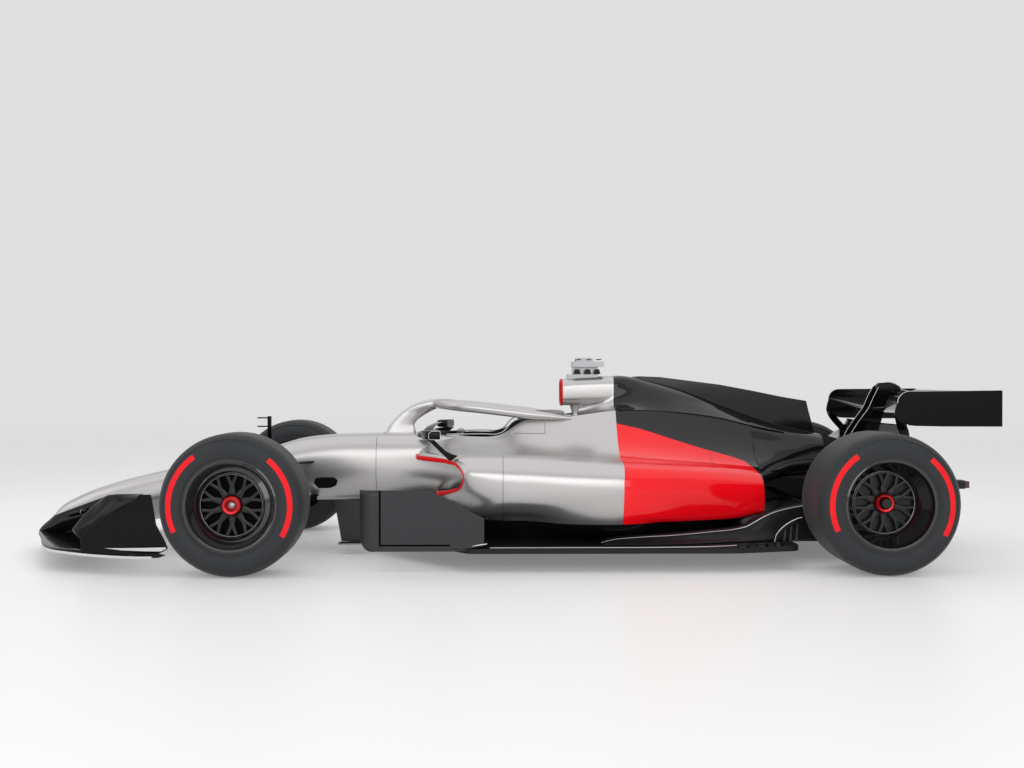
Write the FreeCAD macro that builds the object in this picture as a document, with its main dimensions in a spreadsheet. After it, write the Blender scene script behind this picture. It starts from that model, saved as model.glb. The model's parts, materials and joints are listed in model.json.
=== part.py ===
"""Open wheel racing car, drawn from its front axle and stood on its own origin.

Every length is a cell of the Sizes sheet, in millimetres, and every angle is one in degrees. X runs
from the nose to the tail, Y to the car's right and Z up. Stations are measured back from the front
axle, and each piece is placed so that the origin lies on the floor under the middle of the car.
"""
import FreeCAD, Part
import Sketcher

import math
import os

Vector = FreeCAD.Vector

doc = FreeCAD.newDocument("racing_car")
sheet = doc.addObject("Spreadsheet::Sheet", "Sizes")

CAR = {
    "wheelbase": 3300,
    "nose_overhang": 1345,
    "tail_overhang": 800,
    "overall_width": 1900,
    "tyre_radius": 360,
    "front_tyre_width": 290,
    "rear_tyre_width": 380,
    "seat_gap": 0.3,
    "overrun": 20,
    "moving_gap": 8,
}
WHEEL = {
    "bead_radius": 229,
    "bead_inset": 14,
    "shoulder_radius": 46,
    "barrel_wall": 9,
    "lip_inset": 12,
    "front_dish_depth": 52,
    "rear_dish_depth": 70,
    "spoke_circle": 165,
    "spoke_thickness": 16,
    "spoke_root": 15,
    "spoke_tip": 11,
    "spoke_branch": 30,
    "hub_radius": 56,
    "hub_length": 62,
    "axle_radius": 24,
    "running_gap": 0.05,
    "nut_radius": 47,
    "nut_length": 34,
    "nut_bore": 22,
    "nut_flange": 8,
}
KNUCKLE = {
    "drum_radius": 190,
    "drum_length": 80,
    "drum_gap": 10,
    "kingpin_inset": 30,
    "kingpin_radius": 13,
    "kingpin_length": 26,
    "ball_spread": 125,
    "boss_radius": 27,
    "boss_height": 60,
    "upright_length": 74,
    "upright_width": 70,
    "fork_gap": 6,
}
NOSE = {
    "nose_tip_half": 62,
    "nose_tip_top": 150,
    "nose_tip_base": 128,
    "nose_brow_station": 1215,
    "nose_brow_half": 92,
    "nose_brow_top": 248,
    "nose_brow_base": 134,
    "nose_mid_station": 944,
    "nose_mid_half": 118,
    "nose_mid_top": 359,
    "nose_mid_base": 162,
    "nose_rear_station": 622,
    "nose_rear_half": 140,
    "nose_rear_top": 458,
    "nose_rear_base": 212,
    "bulkhead_station": 250,
    "bulkhead_half": 166,
    "bulkhead_top": 541,
    "bulkhead_base": 262,
}
CELL = {
    "axle_half": 184,
    "axle_top": 594,
    "axle_base": 284,
    "rocker_station": 390,
    "rocker_half": 208,
    "rocker_top": 674,
    "rocker_base": 298,
    "keel_station": 640,
    "keel_half": 226,
    "keel_top": 682,
    "dash_station": 920,
    "dash_half": 272,
    "dash_top": 686,
    "cockpit_half": 300,
    "cockpit_station": 1260,
    "rim_height": 682,
    "shoulder_foot_station": 1370,
    "shoulder_foot_top": 712,
    "shoulder_station": 1480,
    "shoulder_half": 302,
    "shoulder_top": 768,
    "tub_mid_station": 1680,
    "tub_rear_station": 1960,
    "tub_rear_half": 292,
    "tub_rear_top": 780,
    "tub_round": 46,
    "cockpit_front": 985,
    "cockpit_rear": 1600,
    "cockpit_opening_half": 242,
    "cockpit_nose_round": 150,
    "cockpit_tail_round": 60,
    "cockpit_floor": 190,
    "headrest_rear": 1744,
    "headrest_half": 200,
    "headrest_floor": 640,
}
COCKPIT = {
    "seat_front": 1130,
    "seat_back": 1560,
    "seat_half": 190,
    "seat_wall": 26,
    "seat_height": 420,
    "seat_pan_height": 40,
    "wheel_rim_half": 140,
    "wheel_rim_height": 84,
    "wheel_rim_thickness": 30,
    "wheel_station": 1092,
    "wheel_height": 612,
    "column_radius": 17,
    "headrest_top": 796,
    "headrest_wall": 72,
    "headrest_front": 1420,
    "screen_station": 1000,
    "screen_height": 52,
    "screen_wall": 4,
}
HALO = {
    "halo_tube_radius": 27,
    "halo_front": 968,
    "halo_front_height": 846,
    "halo_half": 250,
    "halo_side_station": 1190,
    "halo_side_height": 832,
    "halo_rear_station": 1540,
    "halo_rear_half": 262,
    "halo_rear_height": 792,
    "pylon_base_station": 752,
    "pylon_base_chord": 170,
    "pylon_base_width": 34,
    "pylon_waist_station": 856,
    "pylon_waist_chord": 92,
    "pylon_waist_width": 26,
    "pylon_waist_height": 764,
    "pylon_top_chord": 50,
    "halo_foot_length": 150,
    "halo_foot_width": 70,
}
COVER = {
    "airbox_station": 1700,
    "airbox_top": 990,
    "airbox_base": 838,
    "airbox_half": 92,
    "airbox_wall": 14,
    "airbox_duct_depth": 170,
    "airbox_round": 62,
    "strut_front": 1758,
    "strut_rear": 1817,
    "strut_half": 22,
    "cover_neck_station": 1840,
    "cover_split_station": 2010,
    "cover_split_top": 1010,
    "cover_crest_half": 70,
    "cover_split_brow_half": 150,
    "cover_split_brow": 930,
    "cover_split_waist_half": 230,
    "cover_split_waist": 800,
    "cover_split_foot_half": 420,
    "cover_split_foot": 600,
    "cover_base": 480,
    "cover_mid_station": 2420,
    "cover_mid_top": 925,
    "cover_mid_crest_half": 30,
    "cover_mid_brow_half": 120,
    "cover_mid_brow": 850,
    "cover_mid_waist_half": 240,
    "cover_mid_waist": 740,
    "cover_mid_foot_half": 400,
    "cover_mid_foot": 560,
    "cover_rear_station": 2860,
    "cover_rear_top": 762,
    "cover_rear_crest_half": 20,
    "cover_rear_brow_half": 100,
    "cover_rear_brow": 700,
    "cover_rear_waist_half": 180,
    "cover_rear_waist": 610,
    "cover_rear_foot_half": 270,
    "cover_rear_foot": 520,
    "cover_rear_base": 470,
    "cover_tail_station": 3224,
    "cover_tail_top": 668,
    "cover_tail_crest_half": 14,
    "cover_tail_brow_half": 60,
    "cover_tail_brow": 645,
    "cover_tail_waist_half": 90,
    "cover_tail_waist": 590,
    "cover_tail_foot_half": 100,
    "cover_tail_foot": 520,
    "cover_tail_base": 480,
    "cover_wall": 22,
    "fin_front": 2090,
    "fin_front_top": 1006,
    "fin_mid": 2434,
    "fin_mid_top": 984,
    "fin_high": 2715,
    "fin_high_top": 945,
    "fin_rear": 3149,
    "fin_rear_top": 863,
    "fin_foot": 3196,
    "fin_foot_top": 640,
    "fin_thickness": 9,
    "engine_front": 1964,
    "engine_rear": 2440,
    "engine_half": 170,
    "engine_top": 560,
    "gearbox_rear": 3380,
    "gearbox_half": 105,
    "gearbox_tail_half": 62,
    "gearbox_base": 230,
    "gearbox_top": 440,
    "gearbox_tail_base": 330,
    "gearbox_tail_top": 430,
    "exhaust_radius": 48,
    "exhaust_wall": 3,
    "exhaust_height": 530,
    "exhaust_front": 3120,
    "exhaust_rear": 3420,
}
SIDEPOD = {
    "pod_inlet_station": 905,
    "pod_inlet_inner": 300,
    "pod_inlet_half": 640,
    "pod_inlet_top": 588,
    "pod_inlet_shoulder": 560,
    "pod_inlet_base": 412,
    "pod_inlet_depth": 200,
    "pod_inlet_wall": 16,
    "pod_lip_station": 1150,
    "pod_lip_half": 728,
    "pod_lip_top": 600,
    "pod_lip_shoulder": 520,
    "pod_lip_waist": 440,
    "pod_lip_base": 330,
    "pod_lip_base_half": 560,
    "pod_wide_station": 1560,
    "pod_wide_half": 792,
    "pod_wide_top": 606,
    "pod_wide_shoulder": 540,
    "pod_wide_waist": 470,
    "pod_wide_base": 250,
    "pod_wide_base_half": 690,
    "pod_split_station": 2000,
    "pod_split_half": 744,
    "pod_split_top": 582,
    "pod_split_shoulder": 520,
    "pod_split_waist": 440,
    "pod_split_base": 238,
    "pod_split_base_half": 676,
    "pod_taper_station": 2420,
    "pod_taper_half": 600,
    "pod_taper_top": 560,
    "pod_taper_shoulder": 500,
    "pod_taper_waist": 410,
    "pod_taper_base": 240,
    "pod_taper_base_half": 560,
    "pod_tail_station": 2790,
    "pod_tail_half": 478,
    "pod_tail_top": 520,
    "pod_tail_shoulder": 470,
    "pod_tail_waist": 380,
    "pod_tail_base": 262,
    "pod_tail_base_half": 450,
    "pod_inner": 250,
    "pod_round": 34,
    "undercut_front": 1080,
    "undercut_half": 470,
    "undercut_rear_half": 330,
}
FLOOR = {
    "floor_front": 640,
    "floor_front_half": 250,
    "floor_wide_station": 1180,
    "floor_half": 800,
    "floor_rear": 2905,
    "floor_rear_half": 720,
    "floor_notch_station": 2560,
    "floor_base": 98,
    "floor_thickness": 26,
    "floor_round": 60,
    "edge_wing_front": 1300,
    "edge_wing_rear": 2760,
    "edge_wing_width": 46,
    "edge_wing_drop": 16,
    "plank_front": 590,
    "plank_rear": 2430,
    "plank_half": 150,
    "plank_base": 56,
    "diffuser_front": 2440,
    "diffuser_kick": 2803,
    "diffuser_kick_top": 190,
    "diffuser_neck": 2980,
    "diffuser_neck_top": 218,
    "diffuser_rear": 3640,
    "diffuser_rear_top": 266,
    "diffuser_half": 400,
    "diffuser_wall": 14,
    "diffuser_base": 104,
    "strake_first": 140,
    "strake_second": 275,
    "board_front": 623,
    "board_peak": 974,
    "board_rear": 1262,
    "board_top": 424,
    "board_rear_top": 278,
    "board_rear_base": 150,
    "board_base": 111,
    "board_thickness": 22,
    "board_half": 812,
    "board_slot_station": 726,
    "board_slot_width": 9,
    "board_slot_base": 138,
    "board_round": 46,
    "board_foot_depth": 120,
    "board_foot_height": 14,
    "vane_front": 407,
    "vane_rear": 548,
    "vane_top": 296,
    "vane_base": 56,
    "vane_half": 138,
    "vane_thickness": 12,
    "vane_foot": 34,
}
FRONT_WING = {
    "wing_nose_reach": 1332,
    "wing_tip_station": 405,
    "wing_half": 888,
    "wing_camber": 12,
    "wing_thickness": 24,
    "wing_height": 110,
    "wing_root_tail": 1010,
    "wing_tip_tail": 330,
    "flap_root_half": 84,
    "flap_tip_half": 872,
    "flap_thickness": 14,
    "lower_flap_root_station": 1030,
    "lower_flap_root_height": 150,
    "lower_flap_root_chord": 190,
    "lower_flap_tip_station": 700,
    "lower_flap_tip_height": 158,
    "lower_flap_tip_chord": 150,
    "upper_flap_root_station": 872,
    "upper_flap_root_height": 206,
    "upper_flap_root_chord": 120,
    "upper_flap_tip_station": 596,
    "upper_flap_tip_height": 238,
    "upper_flap_tip_chord": 150,
    "flap_pitch": 26,
    "upper_flap_pitch": 46,
    "wing_endplate_front": 800,
    "wing_endplate_front_half": 776,
    "wing_endplate_rear": 338,
    "wing_endplate_heel": 384,
    "wing_endplate_heel_height": 218,
    "wing_endplate_rear_half": 886,
    "wing_endplate_top": 411,
    "wing_endplate_crest": 596,
    "wing_endplate_crest_rear": 414,
    "wing_endplate_front_top": 190,
    "wing_endplate_foot_height": 153,
    "wing_endplate_thickness": 12,
    "wing_endplate_round": 18,
    "wing_post_station": 1290,
    "wing_post_length": 150,
    "wing_post_thickness": 16,
    "wing_post_half": 44,
}
REAR_WING = {
    "rear_wing_half": 576,
    "rear_plane_station": 3512,
    "rear_plane_centre_height": 822,
    "rear_plane_tip_station": 3462,
    "rear_plane_tip_height": 868,
    "rear_plane_chord": 310,
    "rear_plane_thickness": 34,
    "rear_flap_station": 3836,
    "rear_flap_height": 878,
    "rear_flap_chord": 176,
    "rear_flap_thickness": 16,
    "rear_flap_pitch": 15,
    "rear_hinge_radius": 5,
    "rear_hinge_depth": 24,
    "rear_endplate_front": 3456,
    "rear_endplate_rear": 4026,
    "rear_endplate_top": 931,
    "rear_endplate_base": 738,
    "rear_endplate_thickness": 14,
    "rear_endplate_round": 66,
    "rear_endplate_toe_station": 3596,
    "rear_endplate_toe": 632,
    "rear_endplate_heel_station": 3690,
    "pod_front": 3500,
    "pod_rear": 3653,
    "pod_top": 969,
    "pod_half": 20,
    "pylon_half": 110,
    "pylon_thickness": 14,
    "pylon_foot_station": 3404,
    "pylon_foot_length": 130,
    "pylon_head_station": 3560,
    "pylon_head_length": 90,
    "crash_front": 3384,
    "crash_rear": 4072,
    "crash_half": 52,
    "crash_tail_half": 34,
    "crash_base": 330,
    "crash_top": 430,
    "crash_tail_base": 345,
    "crash_tail_top": 395,
    "light_half": 30,
    "light_height": 50,
}
SMALL = {
    "mirror_station": 985,
    "mirror_length": 68,
    "mirror_half": 92,
    "mirror_height": 62,
    "mirror_across": 690,
    "mirror_centre_height": 702,
    "mirror_round": 20,
    "mirror_stay": 10,
    "mirror_glass_thickness": 4,
    "camera_base_front": 1734,
    "camera_base_rear": 1914,
    "camera_base_height": 16,
    "camera_base_half": 60,
    "camera_stem_height": 44,
    "camera_stem_half": 22,
    "camera_plate_front": 1764,
    "camera_plate_rear": 1944,
    "camera_plate_height": 30,
    "camera_plate_half": 90,
    "camera_fin_height": 23,
    "camera_fin_thickness": 8,
    "mast_station": 0,
    "mast_width": 12,
    "mast_height": 180,
    "mast_chord": 22,
    "probe_radius": 4,
    "probe_length": 70,
    "probe_drop": 50,
}
ARMS = {
    "arm_thickness": 16,
    "arm_chord": 46,
    "front_arm_upper_inner": 520,
    "front_arm_lower_inner": 330,
    "front_arm_spread": 290,
    "front_arm_inner_half": 150,
    "rear_arm_spread": 60,
    "rear_arm_forward": 420,
    "rear_arm_upper_inner": 420,
    "rear_arm_lower_inner": 372,
    "rear_arm_inner_half": 50,
    "shaft_radius": 22,
}

GROUPS = (
    CAR, WHEEL, KNUCKLE, NOSE, CELL, COCKPIT, HALO, COVER, SIDEPOD, FLOOR, FRONT_WING, REAR_WING, SMALL,
    ARMS,
)


class Length:
    """A size with its value and the expression that binds it to its cells."""

    def __init__(self, value, text):
        self.value = value
        self.text = text

    def __add__(self, other):
        other = as_length(other)
        return Length(self.value + other.value, f"({self.text} + {other.text})")

    def __sub__(self, other):
        other = as_length(other)
        return Length(self.value - other.value, f"({self.text} - {other.text})")

    def __mul__(self, share):
        return Length(self.value * share, f"({self.text} * {share})")

    __rmul__ = __mul__

    def __truediv__(self, share):
        return Length(self.value / share, f"({self.text} / {share})")

    def __neg__(self):
        return Length(-self.value, f"(-1 * {self.text})")


def as_length(value):
    """A bare zero as a Length, or a Length as it is."""
    return value if isinstance(value, Length) else Length(value, str(value))


class Sizes:
    """The sheet's cells by name, each one a Length."""

    def __init__(self, groups):
        row = 1
        for group in groups:
            for name, value in group.items():
                sheet.set(f"A{row}", name)
                sheet.set(f"B{row}", str(value))
                sheet.setAlias(f"B{row}", name)
                setattr(self, name, Length(float(value), f"Sizes.{name}"))
                row += 1


size = Sizes(GROUPS)
doc.recompute()

HALF = 0.5
CIRCLE_DEGREES = 360
LEFT, RIGHT = -1, 1
SIDES = {"left": LEFT, "right": RIGHT}

origin_station = (size.wheelbase + size.tail_overhang - size.nose_overhang) * HALF
front_axle_half = (size.overall_width - size.front_tyre_width) * HALF
rear_axle_half = (size.overall_width - size.rear_tyre_width) * HALF
kingpin_half = front_axle_half - size.front_tyre_width * HALF + size.kingpin_inset


def bind(item, path, length):
    """Ties one property to the sheet."""
    item.setExpression(path, as_length(length).text)


def point(station, across, up):
    """A point of the car as a vector of plain values."""
    return Vector(*(as_length(value).value for value in (station, across, up)))


def place(item, station=0, across=0, up=0):
    """Stands a piece in the car's frame by the station, side and height of its own origin."""
    bind(item, "Placement.Base.x", as_length(station) - origin_station)
    bind(item, "Placement.Base.y", across)
    bind(item, "Placement.Base.z", up)
    return item


def new_body(name, station=0, across=0, up=0):
    """An empty body that stands at a place of the car."""
    body = doc.addObject("PartDesign::Body", name)
    body.Label = name
    return place(body, station, across, up)


def origin_feature(body, role):
    """One of the body's own planes or axes."""
    return next(item for item in body.Origin.OriginFeatures if item.Role == role)


def new_sketch(body, role, offset=0):
    """A sketch on one of the body's planes, moved along the plane's normal."""
    sketch = body.newObject("Sketcher::SketchObject", f"{body.Name}_sketch")
    sketch.AttachmentSupport = [(origin_feature(body, role), "")]
    sketch.MapMode = "FlatFace"
    bind(sketch, "AttachmentOffset.Base.z", offset)
    return sketch


def locate(sketch, geometry, end, across, up):
    """Holds one point of a sketch at its two distances from the sketch's origin."""
    for kind, axis, value in (("DistanceX", -2, as_length(across)), ("DistanceY", -1, as_length(up))):
        if value.text == "0":
            sketch.addConstraint(Sketcher.Constraint("PointOnObject", geometry, end, axis))
            continue
        index = sketch.addConstraint(Sketcher.Constraint(kind, -1, 1, geometry, end, value.value))
        bind(sketch, f"Constraints[{index}]", value)


def draw_circle(sketch, across, up, radius):
    """A full circle of the sketch."""
    centre = Vector(as_length(across).value, as_length(up).value, 0)
    shape = sketch.addGeometry(Part.Circle(centre, Vector(0, 0, 1), radius.value), False)
    locate(sketch, shape, 3, across, up)
    index = sketch.addConstraint(Sketcher.Constraint("Radius", shape, radius.value))
    bind(sketch, f"Constraints[{index}]", radius)


def corner_arc(before, corner, after, radius):
    """The arc that rounds a corner: where it leaves each side, its centre and its turn."""
    back = (before - corner).normalize()
    ahead = (after - corner).normalize()
    half_angle = back.getAngle(ahead) * HALF
    reach = radius / math.tan(half_angle)
    centre = corner + (back + ahead).normalize() * (radius / math.sin(half_angle))
    turns_left = back.cross(ahead).z < 0
    return corner + back * reach, corner + ahead * reach, centre, turns_left


def draw_outline(sketch, corners):
    """A closed outline from corners of (across, up) or, where one is rounded, (across, up, radius)."""
    flat = [Vector(as_length(item[0]).value, as_length(item[1]).value, 0) for item in corners]
    count = len(corners)
    starts, ends, arcs = [], [], {}
    for index, item in enumerate(corners):
        if len(item) == 2:
            starts.append(flat[index])
            ends.append(flat[index])
            continue
        enter, leave, centre, turns_left = corner_arc(
            flat[index - 1], flat[index], flat[(index + 1) % count], item[2].value)
        first, last = (enter, leave) if turns_left else (leave, enter)
        circle = Part.Circle(centre, Vector(0, 0, 1), item[2].value)
        angles = [math.atan2(place_.y - centre.y, place_.x - centre.x) for place_ in (first, last)]
        if angles[1] < angles[0]:
            angles[1] += 2 * math.pi
        arcs[index] = (Part.ArcOfCircle(circle, *angles), turns_left)
        ends.append(enter)
        starts.append(leave)
    lines = [
        sketch.addGeometry(Part.LineSegment(starts[index], ends[(index + 1) % count]), False)
        for index in range(count)
    ]
    for index, item in enumerate(corners):
        into, out = lines[index - 1], lines[index]
        if index not in arcs:
            sketch.addConstraint(Sketcher.Constraint("Coincident", into, 2, out, 1))
            locate(sketch, out, 1, item[0], item[1])
            continue
        arc_shape, turns_left = arcs[index]
        arc = sketch.addGeometry(arc_shape, False)
        mark = sketch.addGeometry(Part.Point(flat[index]), True)
        first, last = (1, 2) if turns_left else (2, 1)
        sketch.addConstraint([
            Sketcher.Constraint("Tangent", into, 2, arc, first),
            Sketcher.Constraint("Tangent", out, 1, arc, last),
            Sketcher.Constraint("PointOnObject", mark, 1, into),
            Sketcher.Constraint("PointOnObject", mark, 1, out),
        ])
        locate(sketch, mark, 1, item[0], item[1])
        index_radius = sketch.addConstraint(Sketcher.Constraint("Radius", arc, item[2].value))
        bind(sketch, f"Constraints[{index_radius}]", item[2])
    return sketch


def outline_on(body, role, offset, corners):
    """A sketch with one closed outline."""
    return draw_outline(new_sketch(body, role, offset), corners)


def rounded(corners, radius):
    """The same corners, all rounded alike."""
    return [(across, up, radius) for across, up in corners]


def pad(body, sketch, length, reverse=False):
    """Raises a sketch into a solid."""
    feature = body.newObject("PartDesign::Pad", f"{body.Name}_pad")
    feature.Profile = sketch
    feature.Reversed = reverse
    bind(feature, "Length", length)
    return feature


def pocket(body, sketch, length, reverse=False):
    """Cuts a sketch into the solid."""
    feature = body.newObject("PartDesign::Pocket", f"{body.Name}_pocket")
    feature.Profile = sketch
    feature.Reversed = reverse
    bind(feature, "Length", length)
    return feature


def spin(body, sketch, role="Y_Axis"):
    """Turns a sketch about one of the body's axes."""
    feature = body.newObject("PartDesign::Revolution", f"{body.Name}_turn")
    feature.Profile = sketch
    feature.ReferenceAxis = (origin_feature(body, role), [""])
    feature.Angle = CIRCLE_DEGREES
    return feature


def loft(body, sketches, kind="AdditiveLoft"):
    """Blends a row of sketches into a skin."""
    feature = body.newObject(f"PartDesign::{kind}", f"{body.Name}_loft")
    feature.Profile = sketches[0]
    feature.Sections = sketches[1:]
    return feature


def ring(body, feature, count, role="Y_Axis"):
    """Repeats a feature round one of the body's axes."""
    pattern = body.newObject("PartDesign::PolarPattern", f"{body.Name}_ring")
    pattern.Originals = [feature]
    pattern.Axis = (origin_feature(body, role), [""])
    pattern.Angle = CIRCLE_DEGREES
    pattern.Occurrences = count
    body.Tip = pattern
    return pattern


def block(name, low, high):
    """A box between two corners, each a (station, across, up)."""
    box = doc.addObject("Part::Box", name)
    for prop, axis in (("Length", 0), ("Width", 1), ("Height", 2)):
        bind(box, prop, as_length(high[axis]) - as_length(low[axis]))
    return place(box, *low)


def cylinder(name, radius, length, station=0, across=0, up=0, turn=None):
    """A round bar along Z, or along the direction that its turn gives."""
    bar = doc.addObject("Part::Cylinder", name)
    bind(bar, "Radius", radius)
    bind(bar, "Height", length)
    if turn:
        bar.Placement.Rotation = FreeCAD.Rotation(Vector(0, 0, 1), Vector(*turn))
    return place(bar, station, across, up)


def shape_feature(name, shape):
    """A piece whose shape is worked out here, stood in the car's frame."""
    feature = doc.addObject("Part::Feature", name)
    feature.Shape = shape
    feature.Placement = FreeCAD.Placement(Vector(-origin_station.value, 0, 0), FreeCAD.Rotation())
    return feature


def cut(name, base, tool):
    """What is left of a piece where a tool is taken away."""
    feature = doc.addObject("Part::Cut", name)
    feature.Base = base
    feature.Tool = tool
    return feature


def fuse(name, pieces):
    """Several pieces as one; those that don't touch stay separate solids."""
    feature = doc.addObject("Part::MultiFuse", name)
    feature.Shapes = pieces
    return feature


def common(name, pieces):
    """What several pieces share."""
    feature = doc.addObject("Part::MultiCommon", name)
    feature.Shapes = pieces
    return feature


PIECES = []


def keep(name, item):
    """Marks an object as a piece of the car, under its name."""
    item.Label = name
    PIECES.append((name, item))
    return item


# Wheels. Each is turned about its own axle, its outer face towards +Y before its placement turns it.
def tyre(name, width, station, across):
    """A smooth tyre: flat tread, round shoulders and sidewalls drawn in to the beads."""
    body = new_body(name, station, across, size.tyre_radius)
    half = width * HALF
    bead_half = half - size.bead_inset
    corners = [
        (-bead_half, size.bead_radius),
        (-half, (size.bead_radius + size.tyre_radius) * HALF, size.shoulder_radius),
        (-half + size.bead_inset * HALF, size.tyre_radius, size.shoulder_radius),
        (half - size.bead_inset * HALF, size.tyre_radius, size.shoulder_radius),
        (half, (size.bead_radius + size.tyre_radius) * HALF, size.shoulder_radius),
        (bead_half, size.bead_radius),
    ]
    spin(body, outline_on(body, "YZ_Plane", 0, corners))
    return keep(name, body)


SPOKE_PAIRS = 10


def rim(name, width, dish_depth, station, across, side):
    """A wheel rim: barrel, dished lip and a ring of forked spokes round the hub."""
    body = new_body(name, station, across, size.tyre_radius)
    outer = (width * HALF - size.lip_inset) * side
    inner = -outer
    seat = size.bead_radius - size.seat_gap
    inside = seat - size.barrel_wall
    face = outer - dish_depth * side
    back = face - size.spoke_thickness * side
    barrel = [
        (outer, seat),
        (outer, inside),
        (face, size.spoke_circle),
        (back, size.spoke_circle),
        (outer - dish_depth * 0.75 * side, inside - size.barrel_wall),
        (inner + size.barrel_wall * side, inside),
        (inner, inside),
        (inner, seat),
    ]
    spin(body, outline_on(body, "YZ_Plane", 0, barrel))
    hub = [
        (face + size.spoke_thickness * HALF * side, size.axle_radius + size.running_gap),
        (face + size.spoke_thickness * HALF * side, size.hub_radius * 0.8),
        (face, size.hub_radius),
        (face - size.hub_length * side, size.hub_radius * 0.8),
        (face - size.hub_length * side, size.axle_radius + size.running_gap),
    ]
    spin(body, outline_on(body, "YZ_Plane", 0, hub))
    root = size.hub_radius * 0.85
    fork = (size.hub_radius + size.spoke_circle) * HALF
    reach = size.spoke_circle + size.barrel_wall * HALF
    spoke = [
        (-size.spoke_root * HALF, root),
        (-size.spoke_root * HALF, fork * 0.92),
        (-size.spoke_branch * HALF - size.spoke_tip, reach),
        (-size.spoke_branch * HALF, reach),
        (0, fork),
        (size.spoke_branch * HALF, reach),
        (size.spoke_branch * HALF + size.spoke_tip, reach),
        (size.spoke_root * HALF, fork * 0.92),
        (size.spoke_root * HALF, root),
    ]
    sketch = outline_on(body, "XZ_Plane", -face, spoke)
    arm = pad(body, sketch, size.spoke_thickness, reverse=side < 0)
    ring(body, arm, SPOKE_PAIRS)
    return keep(name, body)


def nut(name, width, dish_depth, station, across, side):
    """The single wheel nut, a flanged ring on the hub's nose."""
    body = new_body(name, station, across, size.tyre_radius)
    base = (width * HALF - size.lip_inset - dish_depth) * side + (
        size.spoke_thickness * HALF + size.seat_gap) * side
    corners = [
        (base, size.nut_bore),
        (base, size.nut_radius),
        (base + size.nut_flange * side, size.nut_radius),
        (base + size.nut_flange * side, size.nut_radius * 0.8),
        (base + size.nut_length * side, size.nut_radius * 0.72),
        (base + size.nut_length * side, size.nut_bore),
    ]
    spin(body, outline_on(body, "YZ_Plane", 0, corners))
    return keep(name, body)


AXLES = {
    "front": (0, front_axle_half, size.front_tyre_width, size.front_dish_depth),
    "rear": (size.wheelbase, rear_axle_half, size.rear_tyre_width, size.rear_dish_depth),
}

for end, (station, axle_half, width, dish_depth) in AXLES.items():
    for side_name, side in SIDES.items():
        tyre(f"{end}_{side_name}_tyre", width, station, axle_half * side)
        rim(f"{end}_{side_name}_rim", width, dish_depth, station, axle_half * side, side)
        nut(f"{end}_{side_name}_nut", width, dish_depth, station, axle_half * side, side)


def upright(name, width, dish_depth, station, across, side, boss_half):
    """A wheel carrier: brake drum, stub axle and the two bosses that the ball joints hold."""
    body = new_body(name, station, across, size.tyre_radius)
    hub_back = (width * HALF - size.lip_inset - dish_depth - size.hub_length) * side
    drum_face = hub_back - size.drum_gap * side
    axle_end = (width * HALF - size.lip_inset - dish_depth) * side
    drum_back = drum_face - size.drum_length * side
    corners = [
        (axle_end, 0),
        (axle_end, size.axle_radius),
        (drum_face, size.axle_radius),
        (drum_face, size.drum_radius * 0.9),
        (drum_face - size.drum_length * 0.15 * side, size.drum_radius),
        (drum_back, size.drum_radius),
        (drum_back, 0),
    ]
    spin(body, outline_on(body, "YZ_Plane", 0, corners))
    boss = boss_half * side - across
    for level in (-1, 1):
        sketch = new_sketch(body, "XY_Plane", size.ball_spread * level - size.boss_height * HALF)
        draw_circle(sketch, 0, boss, size.boss_radius)
        pad(body, sketch, size.boss_height)
    inward = boss - size.upright_width * HALF * side
    column = [
        (-size.upright_length * HALF, inward),
        (size.upright_length * HALF, inward),
        (size.upright_length * HALF, drum_face),
        (-size.upright_length * HALF, drum_face),
    ]
    reach = size.ball_spread - size.boss_height * HALF + size.seat_gap
    pad(body, outline_on(body, "XY_Plane", -reach, column), reach * 2)
    for level in (-1, 1):
        sketch = new_sketch(body, "XY_Plane", (size.ball_spread + size.boss_height * HALF) * level)
        draw_circle(sketch, 0, boss, size.kingpin_radius + size.running_gap)
        pocket(body, sketch, size.kingpin_length + size.seat_gap, reverse=level < 0)
    return keep(name, body)


rear_boss_half = rear_axle_half - size.rear_tyre_width * HALF + size.kingpin_inset
for side_name, side in SIDES.items():
    upright(f"front_{side_name}_upright", size.front_tyre_width, size.front_dish_depth, 0,
            front_axle_half * side, side, kingpin_half)
    upright(f"rear_{side_name}_upright", size.rear_tyre_width, size.rear_dish_depth, size.wheelbase,
            rear_axle_half * side, side, rear_boss_half)


# Nose and survival cell, lofted through sections that narrow upwards.
def hull_section(body, station, half, top, base, radius, lean=0.78, tuck=0.7):
    """One section of the nose or cell: a box with round corners, widest below its middle."""
    middle = base + (top - base) * 0.42
    corners = rounded([
        (-half * tuck, base), (half * tuck, base), (half, middle), (half * lean, top),
        (-half * lean, top), (-half, middle),
    ], radius)
    return outline_on(body, "YZ_Plane", station, corners)


nose = new_body("nose_shell")
loft(nose, [
    hull_section(nose, -size.nose_overhang, size.nose_tip_half, size.nose_tip_top, size.nose_tip_base,
                 size.nose_tip_top * 0.03),
    hull_section(nose, -size.nose_brow_station, size.nose_brow_half, size.nose_brow_top,
                 size.nose_brow_base, size.tub_round * 0.5),
    hull_section(nose, -size.nose_mid_station, size.nose_mid_half, size.nose_mid_top,
                 size.nose_mid_base, size.tub_round * 0.8),
    hull_section(nose, -size.nose_rear_station, size.nose_rear_half, size.nose_rear_top,
                 size.nose_rear_base, size.tub_round * 0.9),
    hull_section(nose, -size.bulkhead_station, size.bulkhead_half, size.bulkhead_top,
                 size.bulkhead_base, size.tub_round),
])


# Survival cell: one loft from the front bulkhead to the engine, then the cockpit and headrest recess.
floor_top = size.floor_base + size.floor_thickness
cell_base = floor_top + size.seat_gap

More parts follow.
